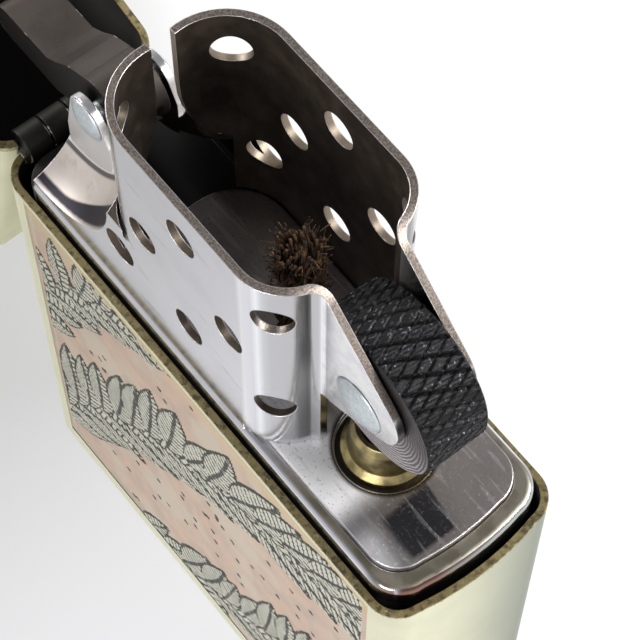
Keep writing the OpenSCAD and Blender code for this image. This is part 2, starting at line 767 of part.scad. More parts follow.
// Six sided tube swept along the spring's centre line
module flint_spring() color(rivet_grey) {
  sides = 6;
  rings = spring_turns * spring_points_per_turn;
  points = [for (k = [0 : rings], j = [0 : sides - 1])
    let (turn = k / spring_points_per_turn, a = 360 * j / sides)
    coil_point(turn) + spring_wire_r
      * [cos(a) * cos(360 * turn), cos(a) * sin(360 * turn), sin(a)]];
  side_faces = [for (k = [0 : rings - 1], j = [0 : sides - 1])
    let (a = k * sides + j, b = k * sides + (j + 1) % sides)
    each [[a, b, a + sides], [b, b + sides, a + sides]]];
  caps = [for (j = [1 : sides - 2])
    each [[0, j + 1, j], [rings * sides, rings * sides + j, rings * sides + j + 1]]];
  translate([tube_x, 0, 0]) polyhedron(points, concat(side_faces, caps), convexity = 10);
}

module flint_screw() color(worn_brass) translate([tube_x, 0, screw_z]) difference() {
  union() {
    cylinder(r = screw_head_r, h = screw_head_t);
    cylinder(r = tube_r - 0.03, h = screw_head_t + screw_l);
  }
  translate([-screw_head_r - past, -0.4, -past]) cube([2 * (screw_head_r + past), 0.8, past + 0.7]);
}

// Filling

module wick() color(cotton_white) translate([wick_x, 0, wick_bottom])
  cylinder(r = wick_r, h = deck_z + wick_h - wick_bottom);

// Packing round the wick, the flint tube and the foot of the cam's spring
module cotton_packing() color(cotton_white) difference() {
  translate([insert_mid, 0, fill_z]) linear_extrude(fill_top - fill_z)
    round_plan(fill_w, fill_d, fill_corner);
  translate([wick_x, 0, wick_bottom - fit_gap]) cylinder(r = wick_r + fit_gap, h = case_h);
  translate([tube_x, 0, 0]) cylinder(r = tube_out_r + packing_play, h = case_h);
  translate([insert_left, -case_d / 2, cam_spring_foot - packing_play])
    cube([cam_spring_x + cam_spring_t + packing_play - insert_left, case_d, case_h]);
}

module felt_pad() color(cotton_white) difference() {
  translate([insert_mid, 0, felt_z]) linear_extrude(felt_t) round_plan(fill_w, fill_d, fill_corner);
  translate([tube_x, 0, felt_z - past])
    cylinder(r = screw_head_r + packing_play, h = felt_t + 2 * past);
}

case_shell();
front_panel();
case_hinge_leaf();
hinge_pin();
lid_shell();
lid_hinge_leaf();
insert_shell();
deck_plate();
cam();
cam_rivet();
cam_spring();
striking_wheel();
wheel_rivet();
flint_tube();
flint();
flint_plunger();
flint_spring();
flint_screw();
wick();
cotton_packing();
felt_pad();
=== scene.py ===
import math

import bpy
import numpy as np
from mathutils import Matrix, Vector


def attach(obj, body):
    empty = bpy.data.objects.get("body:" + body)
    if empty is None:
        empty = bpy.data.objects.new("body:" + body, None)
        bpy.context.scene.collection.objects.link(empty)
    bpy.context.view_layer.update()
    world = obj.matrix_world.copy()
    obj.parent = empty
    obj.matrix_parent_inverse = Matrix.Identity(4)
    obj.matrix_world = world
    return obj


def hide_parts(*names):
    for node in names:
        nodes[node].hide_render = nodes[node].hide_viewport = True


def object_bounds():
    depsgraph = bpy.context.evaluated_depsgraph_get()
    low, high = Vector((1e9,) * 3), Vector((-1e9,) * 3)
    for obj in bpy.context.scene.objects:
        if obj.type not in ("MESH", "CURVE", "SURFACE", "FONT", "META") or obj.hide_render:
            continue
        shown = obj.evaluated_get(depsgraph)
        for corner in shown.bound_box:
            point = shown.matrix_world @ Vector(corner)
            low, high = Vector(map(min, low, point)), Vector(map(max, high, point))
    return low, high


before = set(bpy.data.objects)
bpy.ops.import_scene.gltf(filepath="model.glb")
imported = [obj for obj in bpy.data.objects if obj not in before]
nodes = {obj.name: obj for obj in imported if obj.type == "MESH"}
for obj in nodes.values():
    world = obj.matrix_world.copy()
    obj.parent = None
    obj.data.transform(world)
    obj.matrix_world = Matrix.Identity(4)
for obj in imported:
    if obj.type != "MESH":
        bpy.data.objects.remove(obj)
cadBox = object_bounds()
mm = 0.001


# shader helpers

class Signal:
    # a socket that can be used in an expression
    def __init__(self, finish, socket):
        self.finish = finish
        self.socket = socket

    def math(self, operation, other=None, turned=False):
        pair = (other, self) if turned else (self, other)
        values = {0: pair[0]} if other is None else {0: pair[0], 1: pair[1]}
        return self.finish.node("Math", {"operation": operation}, values)

    def __add__(self, other):
        return self.math("ADD", other)

    def __radd__(self, other):
        return self.math("ADD", other, True)

    def __sub__(self, other):
        return self.math("SUBTRACT", other)

    def __rsub__(self, other):
        return self.math("SUBTRACT", other, True)

    def __mul__(self, other):
        return self.math("MULTIPLY", other)

    def __rmul__(self, other):
        return self.math("MULTIPLY", other, True)

    def __gt__(self, other):
        return self.math("GREATER_THAN", other)

    def __lt__(self, other):
        return self.math("LESS_THAN", other)

    def __pow__(self, other):
        return self.math("POWER", other)

    def __abs__(self):
        return self.math("ABSOLUTE")

    def most(self, other):
        return self.math("MAXIMUM", other)

    def least(self, other):
        return self.math("MINIMUM", other)

    def step(self, start, end):
        # 0 at start, 1 at end, smooth between
        return self.finish.node("MapRange", {"interpolation_type": "SMOOTHSTEP"},
                                {"Value": self, "From Min": start, "From Max": end})


class NodeTree:
    # adds nodes to one tree; values are sockets' numbers, colours or signals
    def __init__(self, tree):
        self.tree = tree

    def node(self, kind, settings, values, out=0):
        made = self.tree.nodes.new("ShaderNode" + kind)
        for name, value in settings.items():
            if name == "stops":
                ramp = made.color_ramp
                while len(ramp.elements) < len(value):
                    ramp.elements.new(0.5)
                for element, (place, colour) in zip(ramp.elements, value):
                    element.position = place
                    element.color = (*colour, 1.0)
            else:
                setattr(made, name, value)
        for key, value in values.items():
            if isinstance(value, Signal):
                self.tree.links.new(value.socket, made.inputs[key])
            else:
                made.inputs[key].default_value = value
        return Signal(self, made.outputs[out])

    def vector(self, operation, first, second=None, out=0, **named):
        values = {0: first} if second is None else {0: first, 1: second}
        values.update(named)
        return self.node("VectorMath", {"operation": operation}, values, out)

    def dot(self, first, second):
        return self.vector("DOT_PRODUCT", first, second, out=1)

    def joined(self, x, y, z):
        return self.node("CombineXYZ", {}, {0: x, 1: y, 2: z})

    def split(self, signal):
        parts = self.node("SeparateXYZ", {}, {0: signal}).socket.node
        return [Signal(self, socket) for socket in parts.outputs]

    def mix(self, share, first, second):
        values = {0: share}
        for key, value in ((6, first), (7, second)):
            values[key] = value if isinstance(value, Signal) else (*value, 1.0)
        return self.node("Mix", {"data_type": "RGBA"}, values, 2)

    def surface(self, name, signal):
        self.tree.links.new(signal.socket, self.tree.nodes[name].inputs["Surface"])


# share of a noise's range over which a patch of colour fades in
fade = {"wide": (0.35, 0.75), "broad": (0.3, 0.7), "middle": (0.35, 0.65), "narrow": (0.4, 0.6)}

# finder of sharp edges: how many rays, and the bend at which an edge starts and is full
edgeValues = {"samples": 6, "start": 0.01, "full": 0.14}


class Finish(NodeTree):
    # one material and the nodes that feed its shader
    def __init__(self, name, metallic=0.0):
        self.material = bpy.data.materials.new(name)
        self.material.use_nodes = True
        super().__init__(self.material.node_tree)
        self.shader = self.tree.nodes["Principled BSDF"]
        self.feed("Metallic", metallic)
        point = self.node("TexCoord", {}, {}, "Object")
        self.place = self.vector("SCALE", point, Scale=1.0 / mm)  # place in mm, in the frame at rest
        self.facing = self.node("TexCoord", {}, {}, "Normal")
        self.x, self.y, self.z = self.split(self.place)
        self.nx, self.ny, self.nz = self.split(self.facing)

    def noise(self, scale, detail=3.0, stretch=(1, 1, 1), rough=0.5, turn=(0, 0, 0)):
        where = self.node("Mapping", {}, {"Vector": self.place, "Scale": stretch, "Rotation": turn})
        values = {"Vector": where, "Scale": scale, "Detail": detail, "Roughness": rough}
        return self.node("TexNoise", {}, values)

    def scratches(self, length, count, turn):
        # thin lines along one direction: 1 on a line
        streak = self.noise(1.0, 2.0, (count / length, count, count), 0.4, turn)
        return streak.step(0.6, 0.66)

    def softEdge(self, radius):
        # rounds the look of sharp edges and returns (normal, mask that is 1 on the edges)
        rounded = self.node("Bevel", {"samples": edgeValues["samples"]}, {"Radius": radius * mm})
        flat = self.node("NewGeometry", {}, {}, "Normal")
        likeness = self.dot(rounded, flat)
        return rounded, (1.0 - likeness).step(edgeValues["start"], edgeValues["full"])

    def bump(self, height, strength, distance, normal=None):
        values = {"Height": height, "Strength": strength, "Distance": distance * mm}
        if normal is not None:
            values["Normal"] = normal
        return self.node("Bump", {}, values)

    def feed(self, socket, value):
        if isinstance(value, Signal):
            self.tree.links.new(value.socket, self.shader.inputs[socket])
        elif isinstance(value, tuple):
            self.shader.inputs[socket].default_value = (*value, 1.0)
        else:
            self.shader.inputs[socket].default_value = value

    def paint(self, colour, roughness, normal=None):
        self.feed("Base Color", colour)
        self.feed("Roughness", roughness)
        if normal is not None:
            self.feed("Normal", normal)


def darker(colour, share):
    return tuple(c * share for c in colour)


def newObject(name, data):
    made = bpy.data.objects.new(name, data)
    bpy.context.scene.collection.objects.link(made)
    return made


def newMesh(name, vertices, faces):
    mesh = bpy.data.meshes.new(name)
    mesh.from_pydata(vertices, [], faces)
    mesh.update()
    return mesh


def wear(mesh, finish):
    mesh.materials.clear()
    mesh.materials.append(finish.material)


def dress(names, finish):
    for name in names:
        wear(nodes[name].data, finish)


def newPiece(name, mesh, finish, body, smooth=True):
    piece = newObject(name, mesh)
    wear(mesh, finish)
    if smooth:
        mesh.shade_smooth()
    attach(piece, body)
    return piece


def gridFaces(rows, columns, closed=False):
    # quads between points that come row by row; closed joins the last row and column to the first
    faces = []
    for r in range(rows if closed else rows - 1):
        for c in range(columns if closed else columns - 1):
            nextRow, nextColumn = (r + 1) % rows, (c + 1) % columns
            faces.append((r * columns + c, r * columns + nextColumn,
                          nextRow * columns + nextColumn, nextRow * columns + c))
    return faces


# camera

cameraValues = {"place": (47.758, -35.191, 153.534), "azimuth": 0.891452, "elevation": 1.10384,
                "roll": 0.006955, "focalPixels": 2375.35, "picture": 640, "sensor": 36.0,
                "clip": (0.005, 20.0)}


def makeCamera(v):
    data = bpy.data.cameras.new("camera")
    data.sensor_width = v["sensor"]
    data.lens = v["focalPixels"] / v["picture"] * v["sensor"]
    data.clip_start, data.clip_end = v["clip"]
    camera = newObject("camera", data)
    a, e, roll = v["azimuth"], v["elevation"], v["roll"]
    back = Vector((math.sin(a) * math.cos(e), -math.cos(a) * math.cos(e), math.sin(e)))
    right = Vector((0, 0, 1)).cross(back).normalized()
    up = back.cross(right)
    rolledRight = right * math.cos(roll) + up * math.sin(roll)
    rolledUp = up * math.cos(roll) - right * math.sin(roll)
    turn = Matrix((rolledRight, rolledUp, back)).transposed().to_4x4()
    camera.matrix_world = Matrix.Translation(Vector(v["place"]) * mm) @ turn
    bpy.context.scene.camera = camera
    print("camera made")


makeCamera(cameraValues)


# light and floor

studioValues = {
    "sky": [(0.0, (0.8, 0.8, 0.81)), (0.52, (0.88, 0.88, 0.89)), (0.72, (0.42, 0.42, 0.44)),
            (1.0, (0.3, 0.3, 0.32))],  # from straight down to straight up
    "skyStrength": 0.85, "white": (1.0, 1.0, 1.0),
    "softboxes": [
        {"name": "keyLight", "place": (0.35, 0.45, 0.55), "size": 0.45, "power": 9.0},
        {"name": "sideLight", "place": (-0.55, -0.1, 0.35), "size": 0.3, "power": 3.0},
        {"name": "frontLight", "place": (0.25, -0.6, 0.3), "size": 0.3, "power": 3.0}],
    "floorColour": (0.8, 0.8, 0.81), "floorRoughness": 0.6, "floorSize": 3.0, "floorDrop": 0.00002,
    "cameraShare": 0.86,  # how much of the floor's plain tone is seen over its real shading
    "floorShadow": (0.5, 0.5, 0.49), "floorFar": (0.86, 0.86, 0.88), "floorShadowFade": (-36.0, 2.0),
    "whiteWay": (0.3, 0.8), "whiteFade": (-6.0, 9.0)}


def makeSky(v):
    world = bpy.data.worlds.new("studio")
    bpy.context.scene.world = world
    world.use_nodes = True
    sky = NodeTree(world.node_tree)
    sky.tree.nodes.remove(sky.tree.nodes["Background"])
    height = sky.split(sky.node("TexCoord", {}, {}, "Generated"))[2]
    upward = sky.node("MapRange", {}, {"Value": height, "From Min": -1.0})
    shade = sky.node("ValToRGB", {"stops": v["sky"]}, {0: upward})
    light = sky.node("Background", {}, {"Color": shade, "Strength": v["skyStrength"]})
    backdrop = sky.node("Background", {}, {"Color": (*v["white"], 1.0)})
    seen = sky.node("LightPath", {}, {}, "Is Camera Ray")
    sky.surface("World Output", sky.node("MixShader", {}, {0: seen, 1: light, 2: backdrop}))


def makeLamps(v):
    for box in v["softboxes"]:
        data = bpy.data.lights.new(box["name"], "AREA")
        data.shape = "SQUARE"
        data.size = box["size"]
        data.energy = box["power"]
        lamp = newObject(box["name"], data)
        lamp.location = box["place"]
        lamp.rotation_euler = (-Vector(box["place"])).to_track_quat("-Z", "Y").to_euler()


def makeFloor(v):
    # the floor shows a plain tone to the camera and to reflections, darker towards low x as a painted
    # shadow, and keeps part of its real shadow
    f = Finish("floorFinish")
    f.paint(v["floorColour"], v["floorRoughness"])
    seen = f.node("LightPath", {}, {}, "Is Camera Ray")
    mirrored = f.node("LightPath", {}, {}, "Is Glossy Ray")
    # painted shadow: the floor's tone is darker towards low x
    shade = f.mix(f.x.step(*v["floorShadowFade"]), v["floorShadow"], v["floorFar"])
    wayX, wayY = v["whiteWay"]
    shade = f.mix((f.x * wayX + f.y * wayY).step(*v["whiteFade"]), shade, v["white"])
    glow = f.node("Emission", {}, {"Color": shade, "Strength": 1.0})
    lit = Signal(f, f.shader.outputs[0])
    share = seen.most(mirrored) * v["cameraShare"]
    f.surface("Material Output", f.node("MixShader", {}, {0: share, 1: lit, 2: glow}))
    half = v["floorSize"] / 2
    corners = [(-half, -half, 0), (half, -half, 0), (half, half, 0), (-half, half, 0)]
    floor = newObject("floor", newMesh("floor", corners, [(0, 1, 2, 3)]))
    wear(floor.data, f)
    floor.location.z = cadBox[0][2] - v["floorDrop"]


bpy.context.scene.view_settings.view_transform = "Standard"
makeSky(studioValues)
makeLamps(studioValues)
makeFloor(studioValues)
print("studio made")


# case and lid

platingValues = {
    "cream": (0.74, 0.73, 0.54), "creamDark": (0.67, 0.665, 0.49), "shaded": (0.22, 0.24, 0.19),
    "endShade": (0.5, 0.495, 0.375), "olive": (0.21, 0.17, 0.078), "oliveDark": (0.08, 0.063, 0.032),
    "rubbed": (0.62, 0.56, 0.32), "inside": (0.02, 0.018, 0.016),
    "roughness": 0.42, "metal": 0.75, "edgeRadius": 0.1,
    "wornDepth": 0.21, "wornFade": 0.16, "lineDepth": (0.14, 0.04),  # mm under the rim
    "shadedX": (14.0, 18.0), "shadedY": (-4.5, 6.0),
    "caseTop": 34.5, "hollow": (0.3, 34.0), "straight": 14.0,  # the long sides are straight up to there
    "hingeX": -18.3, "hingeZ": 35.0, "open": math.radians(164.0),
    "lidCeiling": (1.0, 2.0), "lidCrown": (15.0, 17.0)}


def platedFinish(name, v, below, outward, hollow, shadedEnd):
    # satin plating, worn to dark olive brass at the rim, painted dark as shade inside, with painted shade on
    # the case's underside and the lid's top; below gives mm under the rim
    f = Finish(name, metallic=v["metal"])
    cloud = f.noise(0.22)
    fine = f.noise(7.0)
    speck = f.noise(2.4, 5.0, rough=0.65).step(0.46, 0.62)
    depth, side, inner = below(f), outward(f), hollow(f)
    colour = f.mix(cloud.step(*fade["wide"]), v["cream"], v["creamDark"])
    colour = f.mix(f.x.step(*v["shadedX"]) * f.y.step(*v["shadedY"]), colour, v["shaded"])
    # painted shade on the case's underside and on the lid's top
    colour = f.mix(shadedEnd(f), colour, v["endShade"])
    worn = (depth + (fine - 0.5) * 0.5).step(v["wornDepth"], v["wornDepth"] - v["wornFade"])
    colour = f.mix(worn, colour, f.mix(speck, v["olive"], v["oliveDark"]))
    line = (depth + (cloud - 0.5) * 0.2).step(*v["lineDepth"]) * side.step(0.3, 0.9) * (1.0 - speck * 0.7)
    colour = f.mix(line * 0.8, colour, v["rubbed"])
    normal = f.softEdge(v["edgeRadius"])[0]
    # painted shade: the hollow inside is nearly black
    f.feed("Metallic", v["metal"] - inner * 0.6)
    f.paint(f.mix(inner, colour, v["inside"]), v["roughness"] + fine * 0.12 + inner * 0.3,
            f.bump(fine * 0.5 + speck * worn, 0.1, 0.04, normal))
    return f


def lookAway(f, length, lengthFacing):
    # how far the surface looks away from the middle plane of the case or the lid
    core = length.most(-platingValues["straight"]).least(platingValues["straight"])
    away = f.vector("NORMALIZE", f.joined(length - core, f.y, 0.0))
    return f.dot(f.joined(lengthFacing, f.ny, 0.0), away)


def caseBelow(f):
    return platingValues["caseTop"] - f.z


def caseOutward(f):
    return lookAway(f, f.x, f.nx)


def caseHollow(f):
    low, high = platingValues["hollow"]
    floor = f.nz.step(0.5, 0.8) * (f.z > low) * (f.z < high)
    return (caseOutward(f) * -1.0).step(0.2, 0.5).most(floor)


def caseFoot(f):
    return (f.nz * -1.0).step(0.6, 0.95)


def lidAxis(turn):
    # a direction in the lid's middle plane, at rest: 0 is along it and a quarter turn more is its top
    angle = platingValues["open"] + turn
    return (math.cos(angle), 0.0, math.sin(angle))


lidAlong = lidAxis(0.0)
lidUp = lidAxis(math.pi / 2)


def lidPlace(f, axis):
    # distance in mm from the middle of the lid's rim along one of its axes
    v = platingValues
    rim = (v["hingeX"] - v["hingeX"] * lidAlong[0], 0.0, v["hingeZ"] - v["hingeX"] * lidAlong[2])
    return f.dot(f.vector("SUBTRACT", f.place, rim), axis)


def lidFacing(f, axis):
    return f.dot(f.facing, axis)


def lidBelow(f):
    return lidPlace(f, lidUp)


def lidOutward(f):
    return lookAway(f, lidPlace(f, lidAlong), lidFacing(f, lidAlong))


def lidHollow(f):
    ceiling = (lidFacing(f, lidUp) * -1.0).step(0.5, 0.8) * lidBelow(f).step(*platingValues["lidCeiling"])
    return (lidOutward(f) * -1.0).step(0.2, 0.5).most(ceiling)


def lidTop(f):
    return lidFacing(f, lidUp).step(0.55, 0.92) * lidBelow(f).step(*platingValues["lidCrown"])


caseFinish = platedFinish("casePlating", platingValues, caseBelow, caseOutward, caseHollow, caseFoot)
lidFinish = platedFinish("lidPlating", platingValues, lidBelow, lidOutward, lidHollow, lidTop)
dress(["case_shell"], caseFinish)
dress(["lid_shell"], lidFinish)


# hinge

steelValues = [
    {"name": "hingeSteel", "base": (0.04, 0.037, 0.032), "bright": (0.6, 0.58, 0.54), "roughness": 0.4,
     "edgeRadius": 0.16, "rubbed": 0.1, "nodes": ("case_hinge_leaf", "lid_hinge_leaf", "hinge_pin")},
    {"name": "camSteel", "base": (0.075, 0.063, 0.055), "bright": (0.62, 0.55, 0.46), "roughness": 0.44,
     "edgeRadius": 0.09, "rubbed": 0.05, "nodes": ("cam", "cam_spring")}]


def darkSteel(v):
    # smooth steel gone dark, with a few worn bright spots on its edges and painted shade on faces that do
    # not look up; rubbed is their share
    f = Finish(v["name"], metallic=0.9)
    cloud = f.noise(0.35)
    grain = f.noise(9.0, 2.0, (1, 4, 1))
    normal, edge = f.softEdge(v["edgeRadius"])
    rub = f.noise(0.9).step(0.66 - v["rubbed"], 0.72 - v["rubbed"])
    dust = f.noise(16.0, 2.0).step(0.7, 0.76)
    colour = f.mix(cloud.step(*fade["broad"]), v["base"], darker(v["base"], 0.68))
    colour = f.mix(dust * 0.25, colour, v["bright"])
    # painted shade: faces that do not look up are darker
    upward = f.nz.step(-0.1, 0.5)
    colour = f.mix(1.0 - upward, colour, darker(v["base"], 0.3))
    f.paint(f.mix(edge * rub, colour, v["bright"]), v["roughness"] + grain * 0.12 + cloud * 0.08,
            f.bump(grain * 0.4 + cloud, 0.1, 0.05, normal))
    return f


for values in steelValues:
    dress(values["nodes"], darkSteel(values))


# insert

insertValues = {
    # outer face; the painted reflections on the bends run from a surface that looks sideways to one that
    # looks endways
    "polished": (0.8, 0.8, 0.85), "clouded": (0.7, 0.7, 0.74), "scratched": (0.36, 0.35, 0.36),
    "edgeRadius": 0.09,
    "bendReflections": [(0.0, (0.8, 0.8, 0.85)), (0.05, (0.8, 0.8, 0.85)), (0.11, (1.0, 1.0, 1.0)),
              (0.2, (0.86, 0.86, 0.9)), (0.3, (0.76, 0.76, 0.81)), (0.4, (0.96, 0.97, 1.0)),
              (0.5, (0.64, 0.65, 0.67)), (0.6, (0.55, 0.55, 0.57)), (0.85, (0.54, 0.54, 0.55)),
              (0.9, (0.24, 0.24, 0.24)), (0.95, (0.11, 0.11, 0.11)), (0.985, (0.17, 0.17, 0.17)),
              (1.0, (0.46, 0.46, 0.48))],
    "ear": (1.0, 1.0, 1.0), "earStain": (0.88, 0.87, 0.9), "edgeHighlight": (0.9, 0.89, 0.9),
    "curlX": -4.9, "bendX": 4.15, "bendsX": (2.0, 4.5), "bendsZ": (36.6, 37.2),
    "earX": (7.0, 7.5), "earZ": (37.0, 38.0),
    # saddles: colours of a painted reflection of a pale wall between dark bands
    "wall": (0.76, 0.69, 0.64), "wallCloud": (0.68, 0.61, 0.56), "wallReflectionBlotch": (0.5, 0.43, 0.35),
    "wallEdge": (0.3, 0.27, 0.25), "mirrored": (0.03, 0.028, 0.034), "camEar": (0.84, 0.82, 0.81),
    "scoopX": -15.4, "scoopZ": 44.2, "scoopR": 8.0, "saddleX": (-6.7, -6.9), "saddleZ": (35.8, 36.0),
    "saddleY": (1.9, 2.0), "saddleTop": 43.4, "camEarR": (6.15, 6.05), "camEarY": (2.75, 2.65),
    "creaseFrom": (6.06, 6.16), "creaseTo": (6.42, 6.28), "creaseY": (2.95, 2.75),
    # inside
    "soot": (0.024, 0.017, 0.012), "sootBrown": (0.06, 0.043, 0.03), "sootSpeck": (0.15, 0.12, 0.09),
    "insideX": (-9.6, -9.2), "insideZ": (34.9, 35.2), "earInsideX": (7.0, 7.6),
    # fold, ledge and floor
    "olive": (0.23, 0.21, 0.17), "oliveDark": (0.16, 0.145, 0.11), "foldFront": (0.3, 0.27, 0.25),
    "foldBack": (0.5, 0.51, 0.5), "blush": (0.26, 0.11, 0.085), "floor": (0.018, 0.016, 0.015),
    "foldZ": (35.92, 36.0), "seatZ": (34.95, 35.02), "floorZ": 34.0, "outerZ": 34.3, "ledgeZ": 35.65,
    "ledgeX": (3.0, 9.0), "outerX": (16.45, 16.75), "outerY": (4.7, 4.9),
    "foldY": (-2.0, 2.5), "foldX": (14.0, 16.0), "blushPlace": (16.9, -3.6, 35.4), "blushReach": (2.4, 0.9),
    "endX": (-15.2, -15.4),
    # cut edges
    "cut": (0.17, 0.14, 0.12), "cutBright": (0.36, 0.31, 0.27), "rearHole": (0.16, 0.12, 0.085),
    "rearHoleBright": (0.3, 0.25, 0.19), "frontHoleShade": (0.05, 0.038, 0.028),
    "frontHoleShadeBright": (0.14, 0.11, 0.08), "topZ": (53.1, 53.4), "shoulderX": (4.5, 5.5),
    "shoulderZ": (46.5, 47.5), "holesZ": (39.4, 39.8), "holesLeft": (-9.3, -9.0), "holesRight": (7.2, 7.0)}


def insertNoises(f):
    return {"cloud": f.noise(0.3, 4.0), "stain": f.noise(0.8, 5.0), "fine": f.noise(11.0),
            "brushed": f.noise(4.0, 3.0, (1, 1, 5)), "speck": f.noise(7.0, 2.0).step(0.68, 0.74),
            "lines": f.scratches(9.0, 2.0, (0.0, 0.5, 0.3)) * f.noise(0.28, 2.0).step(0.5, 0.62)}


def insertOutside(f, v, n):
    # the outer face, with painted reflections: lighter and darker bands round the bend towards the wheel
    colour = f.mix(n["cloud"].step(*fade["wide"]) * 0.6, v["polished"], v["clouded"])
    # painted reflections round the bend
    bendReflection = f.node("ValToRGB", {"stops": v["bendReflections"]}, {"Fac": abs(f.nx)})
    colour = f.mix(f.x.step(*v["bendsX"]) * f.z.step(*v["bendsZ"]), colour, bendReflection)
    onEar = abs(f.ny).step(0.9, 0.98) * f.x.step(*v["earX"]) * f.z.step(*v["earZ"])
    colour = f.mix(onEar, colour, f.mix(n["stain"].step(*fade["narrow"]), v["ear"], v["earStain"]))
    return f.mix(n["lines"] * 0.22, colour, v["scratched"])


def insertSaddles(f, v, n, colour, level, depthY):
    # a hollow painted with the reflection of a pale wall between two dark bands; returns the colour and the
    # masks of both
    radius = ((f.x - v["scoopX"]) ** 2.0 + (f.z - v["scoopZ"]) ** 2.0) ** 0.5
    under = v["scoopR"] - radius
    inSaddle = f.x.step(*v["saddleX"]) * f.z.step(*v["saddleZ"]) * depthY.step(*v["saddleY"])
    onTop = level * (f.z > v["saddleTop"])
    scoop = inSaddle * radius.step(v["scoopR"] + 0.02, v["scoopR"] - 0.04) * (1.0 - onTop)
    # painted reflection of a pale wall, dimmer towards the hollow's edge
    wall = f.mix(n["cloud"].step(*fade["middle"]), v["wall"], v["wallCloud"])
    wall = f.mix(n["stain"].step(0.58, 0.7) * 0.4, wall, v["wallReflectionBlotch"])
    wall = f.mix(under.step(1.6, 0.3) * 0.55, wall, v["wallEdge"])
    # painted dark reflections: a band along the hollow's lower edge and a dark crease line
    lowBand = 0.24 + (f.x - v["scoopX"]).step(2.0, 6.5) * 0.45
    dark = under.step(lowBand + 0.1, lowBand) * under.step(0.02, 0.12)
    crease = radius.step(*v["creaseFrom"]) * radius.step(*v["creaseTo"]) * depthY.step(*v["creaseY"])
    colour = f.mix(scoop, colour, f.mix(dark.most(crease * 0.8), wall, v["mirrored"]))
    onCamEar = inSaddle * depthY.step(*v["camEarY"]) * radius.step(*v["camEarR"])
    return f.mix(onCamEar, colour, v["camEar"]), inSaddle, scoop


def insertInside(f, v, n, colour, inSaddle, side):
    # sooty inside; returns the colour and the mask of the chimney's inner face
    above = f.z.step(*v["insideZ"])
    inward = (side * -1.0).step(0.35, 0.6) * above * f.x.step(*v["insideX"])
    facesIn = (f.ny * f.y).step(-0.3, -0.8)
    soot = f.mix(n["stain"].step(*fade["wide"]), v["soot"], v["sootBrown"])
    soot = f.mix(n["speck"] * 0.5, soot, v["sootSpeck"])
    earInside = facesIn * f.x.step(*v["earInsideX"]) * above
    return f.mix(inward.most(facesIn * inSaddle).most(earInside * 0.85), colour, soot), inward


def insertFold(f, v, n, colour, inSaddle, level, depthY):
    # the fold: silver outside, an olive ledge on top, dark floor, and painted shade on the hinge end wall;
    # returns the colour and three masks
    tank = 1.0 - f.z.step(*v["foldZ"])
    outer = f.x.step(*v["outerX"]).most(depthY.step(*v["outerY"]))
    onFold = tank * (f.z > v["outerZ"]) * outer
    foldFace = f.mix(f.y.step(*v["foldY"]), v["foldFront"], v["foldBack"])
    blush = f.vector("DISTANCE", f.place, v["blushPlace"], out=1).step(*v["blushReach"])
    foldFace = f.mix(blush * 0.75, foldFace, v["blush"])
    colour = f.mix(onFold * f.x.step(*v["foldX"]), colour, foldFace)
    ledge = level * (f.z > v["ledgeZ"]) * tank * f.x.step(*v["ledgeX"])
    colour = f.mix(ledge, colour, f.mix(n["stain"].step(*fade["narrow"]), v["olive"], v["oliveDark"]))
    floor = level * (1.0 - f.z.step(*v["seatZ"])) * (f.z > v["floorZ"])
    # painted shade: the hinge end wall is painted as dark as the floor
    endWall = f.x.step(*v["endX"]) * (1.0 - inSaddle)
    return f.mix(floor.most(endWall), colour, v["floor"]), ledge, floor, endWall


def insertCuts(f, v, n, colour, side):
    # cut edges of the sheet, with painted shade in the holes' walls on the front; returns the colour and the
    # masks of the upper edge and the holes' walls
    shoulder = f.nz.step(0.5, 0.62) * f.z.step(*v["shoulderZ"]) * f.x.step(*v["shoulderX"])
    topCut = (f.nz.step(0.9, 0.98) * f.z.step(*v["topZ"])).most(shoulder)
    acrossSheet = 1.0 - abs(side).step(0.3, 0.75)
    holeWall = acrossSheet * f.z.step(*v["holesZ"]) * (1.0 - topCut)
    holeWall = holeWall * f.x.step(*v["holesLeft"]) * f.x.step(*v["holesRight"])
    fine = n["fine"]
    colour = f.mix(topCut, colour, f.mix(fine.step(*fade["middle"]), v["cut"], v["cutBright"]))
    colour = f.mix(holeWall, colour, f.mix(fine, v["rearHole"], v["rearHoleBright"]))
    # painted shade in the holes' walls on the front
    front = f.mix(fine, v["frontHoleShade"], v["frontHoleShadeBright"])
    return f.mix(holeWall * f.y.step(0.0, -1.0), colour, front), topCut, holeWall


def insertFinish(v):
    # one polished sheet: sooty inside, brushed on its cut edges, tarnished on its fold, with painted
    # highlights on its edges
    f = Finish("insertSheet", metallic=1.0)
    n = insertNoises(f)
    fromMiddle = f.joined(f.x - f.x.most(v["curlX"]).least(v["bendX"]), f.y, 0.0)
    side = f.dot(f.facing, f.vector("NORMALIZE", fromMiddle))
    level = f.nz.step(0.8, 0.95)
    depthY = abs(f.y)
    normal, edge = f.softEdge(v["edgeRadius"])
    colour = insertOutside(f, v, n)
    colour, inSaddle, scoop = insertSaddles(f, v, n, colour, level, depthY)
    colour, inward = insertInside(f, v, n, colour, inSaddle, side)
    colour, ledge, floor, endWall = insertFold(f, v, n, colour, inSaddle, level, depthY)
    colour, topCut, holeWall = insertCuts(f, v, n, colour, side)
    # painted highlight on the sheet's edges
    edgeHighlight = edge * (1.0 - inward) * (1.0 - floor) * (1.0 - endWall)
    dull = inward.most(floor).most(holeWall * 0.7).most(endWall)
    roughness = 0.11 + n["cloud"] * 0.07 + n["fine"] * 0.04 + n["lines"] * 0.06
    roughness = roughness + topCut * 0.22 + dull * 0.38 + ledge * 0.3 + scoop * 0.3
    relief = n["fine"] * 0.2 + n["lines"] * 0.25 + n["cloud"] * 1.5
    relief = relief + inward * n["stain"] + topCut * n["brushed"]
    f.feed("Metallic", 1.0 - dull * 0.55)
    f.paint(f.mix(edgeHighlight * 0.8, colour, v["edgeHighlight"]), roughness, f.bump(relief, 0.1, 0.06, normal))
    return f


